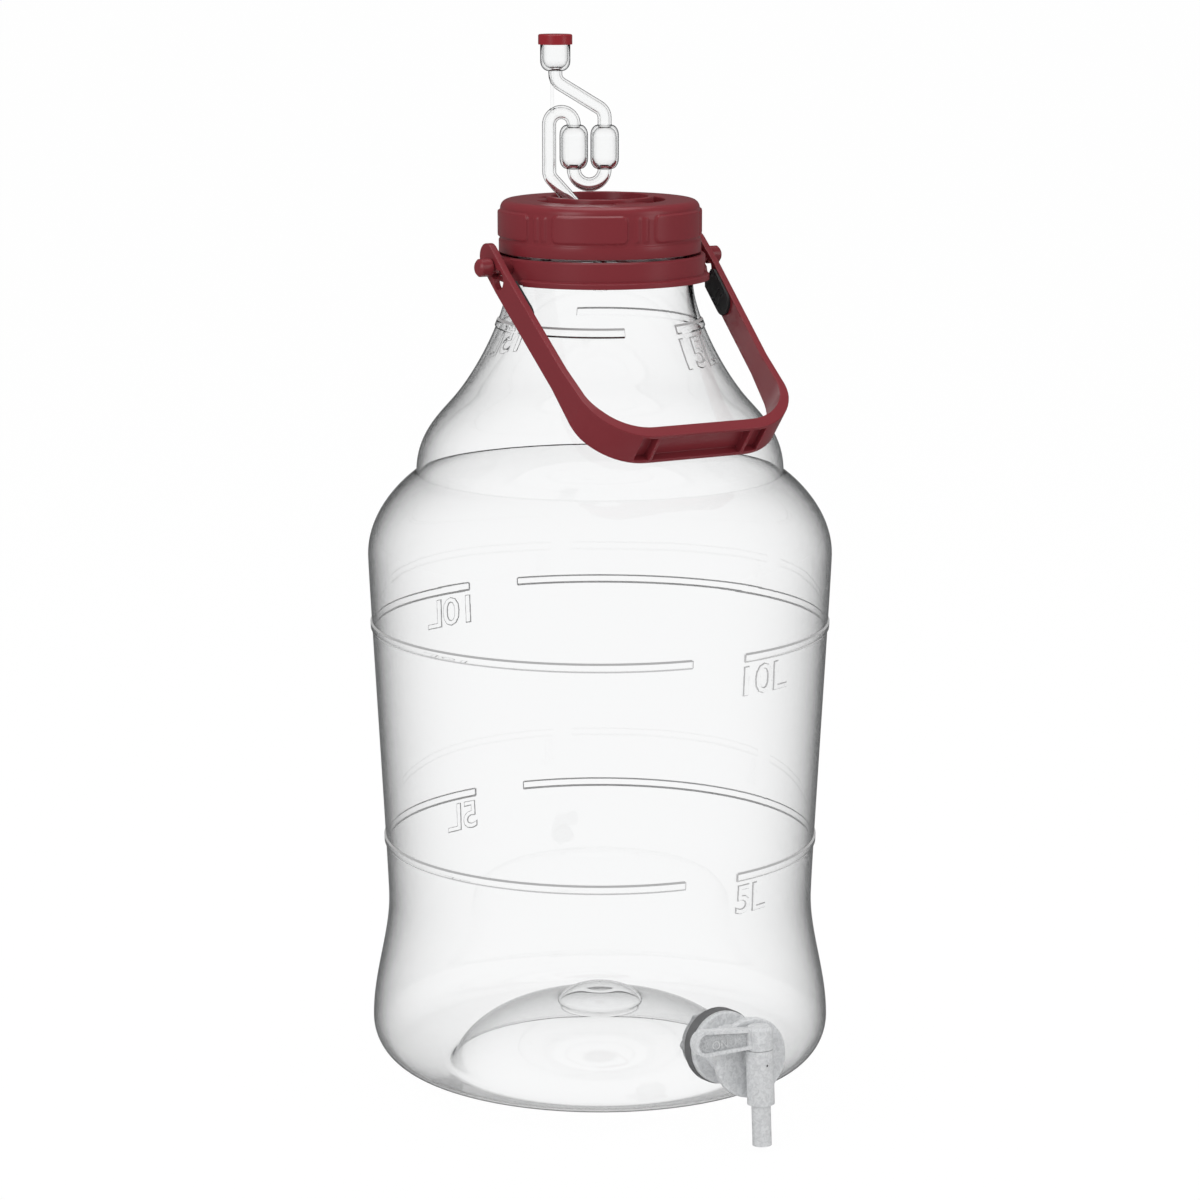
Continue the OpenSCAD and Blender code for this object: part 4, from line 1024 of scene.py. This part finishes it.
# %% Build the cap
cap_cos, cap_sin = np.cos(np.radians(cap_turns)), np.sin(np.radians(cap_turns))
points = []
for r, z in cap_line:
    radius = np.full(CAP_COLUMNS, r)
    high = np.full(CAP_COLUMNS, z)
    if r > TOP_R - 1.0 and PANEL_LOW - 0.7 < z < PANEL_HIGH + 0.5:
        stands = np.maximum(panel_height(cap_turns, z), rib_height(cap_turns, z))
        radius = radius + stands * (PANEL_R - r) / (PANEL_R - SKIRT_R)
    if TROUGH_IN_R - 0.01 < r < TROUGH_R + 1.5 and TROUGH_Z - 0.01 <= z < CAP_Z:
        high = z + (CAP_Z - z) * bridge_mask(cap_turns)
    if abs(r - SKIRT_IN_R) < 0.001 and 442.7 < z < 456.0:
        radius = radius - thread_height(cap_turns, z, CAP_THREAD)
    points += list(zip(radius * cap_cos * MM, radius * cap_sin * MM, high * MM))
faces = grid_faces(len(cap_line), CAP_COLUMNS, closed=True)
cap = new_piece("ribbed_screw_cap", points, faces, burgundy, 42.0)
face_outward(cap.data)
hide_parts("screw_cap")
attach(cap, "cap")
print("Cap faces:", len(faces))

# %% [markdown]
# ## Mouldings from the CAD shapes
# The collar, handle, tap and small parts already have their right shapes, but a CAD edge has no
# radius, and a moulding always has one. A copy of each mesh is welded, its flat faces are made
# whole again, and its sharp edges get a small round bevel that catches the light.

# %% Soft edges
SHARP_ANGLE, FLAT_ANGLE, SMOOTH_BELOW = math.radians(35.0), math.radians(0.6), 32


def soften(node, body, material, width, name):
    """A copy of a CAD node with its sharp edges rounded to that width in millimetres."""
    bm = bmesh.new()
    bm.from_mesh(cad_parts[node].data)
    bmesh.ops.remove_doubles(bm, verts=bm.verts, dist=0.004 * MM)
    bmesh.ops.dissolve_limit(bm, angle_limit=FLAT_ANGLE, verts=bm.verts, edges=bm.edges,
                             use_dissolve_boundaries=False)
    edges = [e for e in bm.edges if len(e.link_faces) == 2 and e.calc_face_angle(0.0) > SHARP_ANGLE]
    bmesh.ops.bevel(bm, geom=edges, offset=width * MM, offset_type="OFFSET", segments=3, profile=0.5,
                    affect="EDGES", clamp_overlap=True, loop_slide=True)
    mesh = bpy.data.meshes.new(name)
    bm.to_mesh(mesh)
    bm.free()
    smooth(mesh, SMOOTH_BELOW)
    mesh.materials.clear()
    mesh.materials.append(material)
    piece = bpy.data.objects.new(name, mesh)
    scene.collection.objects.link(piece)
    even = piece.modifiers.new("even_normals", "WEIGHTED_NORMAL")
    even.keep_sharp = True
    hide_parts(node)
    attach(piece, body)
    print(name, "edges rounded:", len(edges), "faces:", len(mesh.polygons))
    return piece


soften("handle_collar", "collar", burgundy, 0.4, "neck_collar")
soften("handle", "bail", burgundy, 0.5, "carrying_handle")
soften("arm_pad_left", "bail", black_rubber, 0.3, "left_arm_pad")
soften("arm_pad_right", "bail", black_rubber, 0.3, "right_arm_pad")
soften("airlock_cap", "airlock_lid", airlock_red, 0.25, "airlock_lid_cap")
tap = soften("tap_body", "jar", tap_grey, 0.35, "tap_moulding")
lever = soften("tap_lever", "lever", tap_grey, 0.35, "tap_lever_moulding")
soften("tap_nut", "jar", nut_grey_painted_shade, 0.4, "shank_nut")
soften("tap_gasket_outer", "jar", gasket_rubber, 0.3, "outer_gasket")
soften("tap_gasket_inner", "jar", gasket_rubber, 0.3, "inner_gasket")
soften("grommet", "cap", black_rubber, 0.2, "rubber_grommet")
soften("cap_seal", "seal", seal_foam, 0.3, "foam_cap_seal")

# %% [markdown]
# ## The word on the lever
# The floor of the lever's recess has the plain word ON moulded into it, raised by a third of a
# millimetre. Text gives the letters. They are laid in the tap's own frame, so that they sit flat
# on the recess, and they ride with the lever. The recess floor gets a darker, rougher grey with a finer
# mottle.

# %% Raised word
WORD_H, WORD_PROUD = 4.4, 0.35
WORD_X, WORD_UP, RECESS_OUT = -24.0, 12.7, 41.4
word_mesh = text_mesh("word", "ON", WORD_H, WORD_PROUD, {"resolution_u": 4, "align_x": "CENTER"})
for v in word_mesh.vertices:
    up, out = WORD_UP + v.co.y - WORD_H / 2, RECESS_OUT + v.co.z
    v.co = tap_foot + (Vector((WORD_X + v.co.x, 0, 0)) + tap_up * up + tap_out * out) * MM
word_mesh.materials.clear()
word_mesh.materials.append(tap_grey)
word = bpy.data.objects.new("lever_word", word_mesh)
scene.collection.objects.link(word)
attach(word, "lever")
print("Word faces:", len(word_mesh.polygons))

# %% Darker recess floor
lever.data.materials.append(recess_grey)
darker_floor_faces = [face for face in lever.data.polygons if face.normal.dot(tap_out) > 0.99
          and abs((face.center - tap_foot).dot(tap_out) / MM - RECESS_OUT) < 0.1]
for face in darker_floor_faces:
    face.material_index = 1
print("Recess faces etched:", len(darker_floor_faces))

# %% [markdown]
# ## The dot on the barrel
# The barrel has a small dark dot at its front. The faces of the small pip there get the colour of
# the gaskets.

# %% Dark dot
PIP_UP, PIP_REACH, PIP_DEEP = -1.0, 0.9, 0.7
tap.data.materials.append(gasket_rubber)
near_pip = []
for face in tap.data.polygons:
    off = face.center - tap_foot
    if abs(off.x) / MM < PIP_REACH and abs(off.dot(tap_up) / MM - PIP_UP) < PIP_REACH:
        near_pip.append((off.dot(tap_out) / MM, face.index))
front_most = max(near_pip)[0]
dot = [index for out, index in near_pip if out > front_most - PIP_DEEP]
for index in dot:
    tap.data.polygons[index].material_index = len(tap.data.materials) - 1
print("Dot faces:", len(dot), "at", round(front_most, 2))

# %% Write the sizes
low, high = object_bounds()
print("Visual box in mm:", [round(v / MM, 1) for v in (*low, *high)])
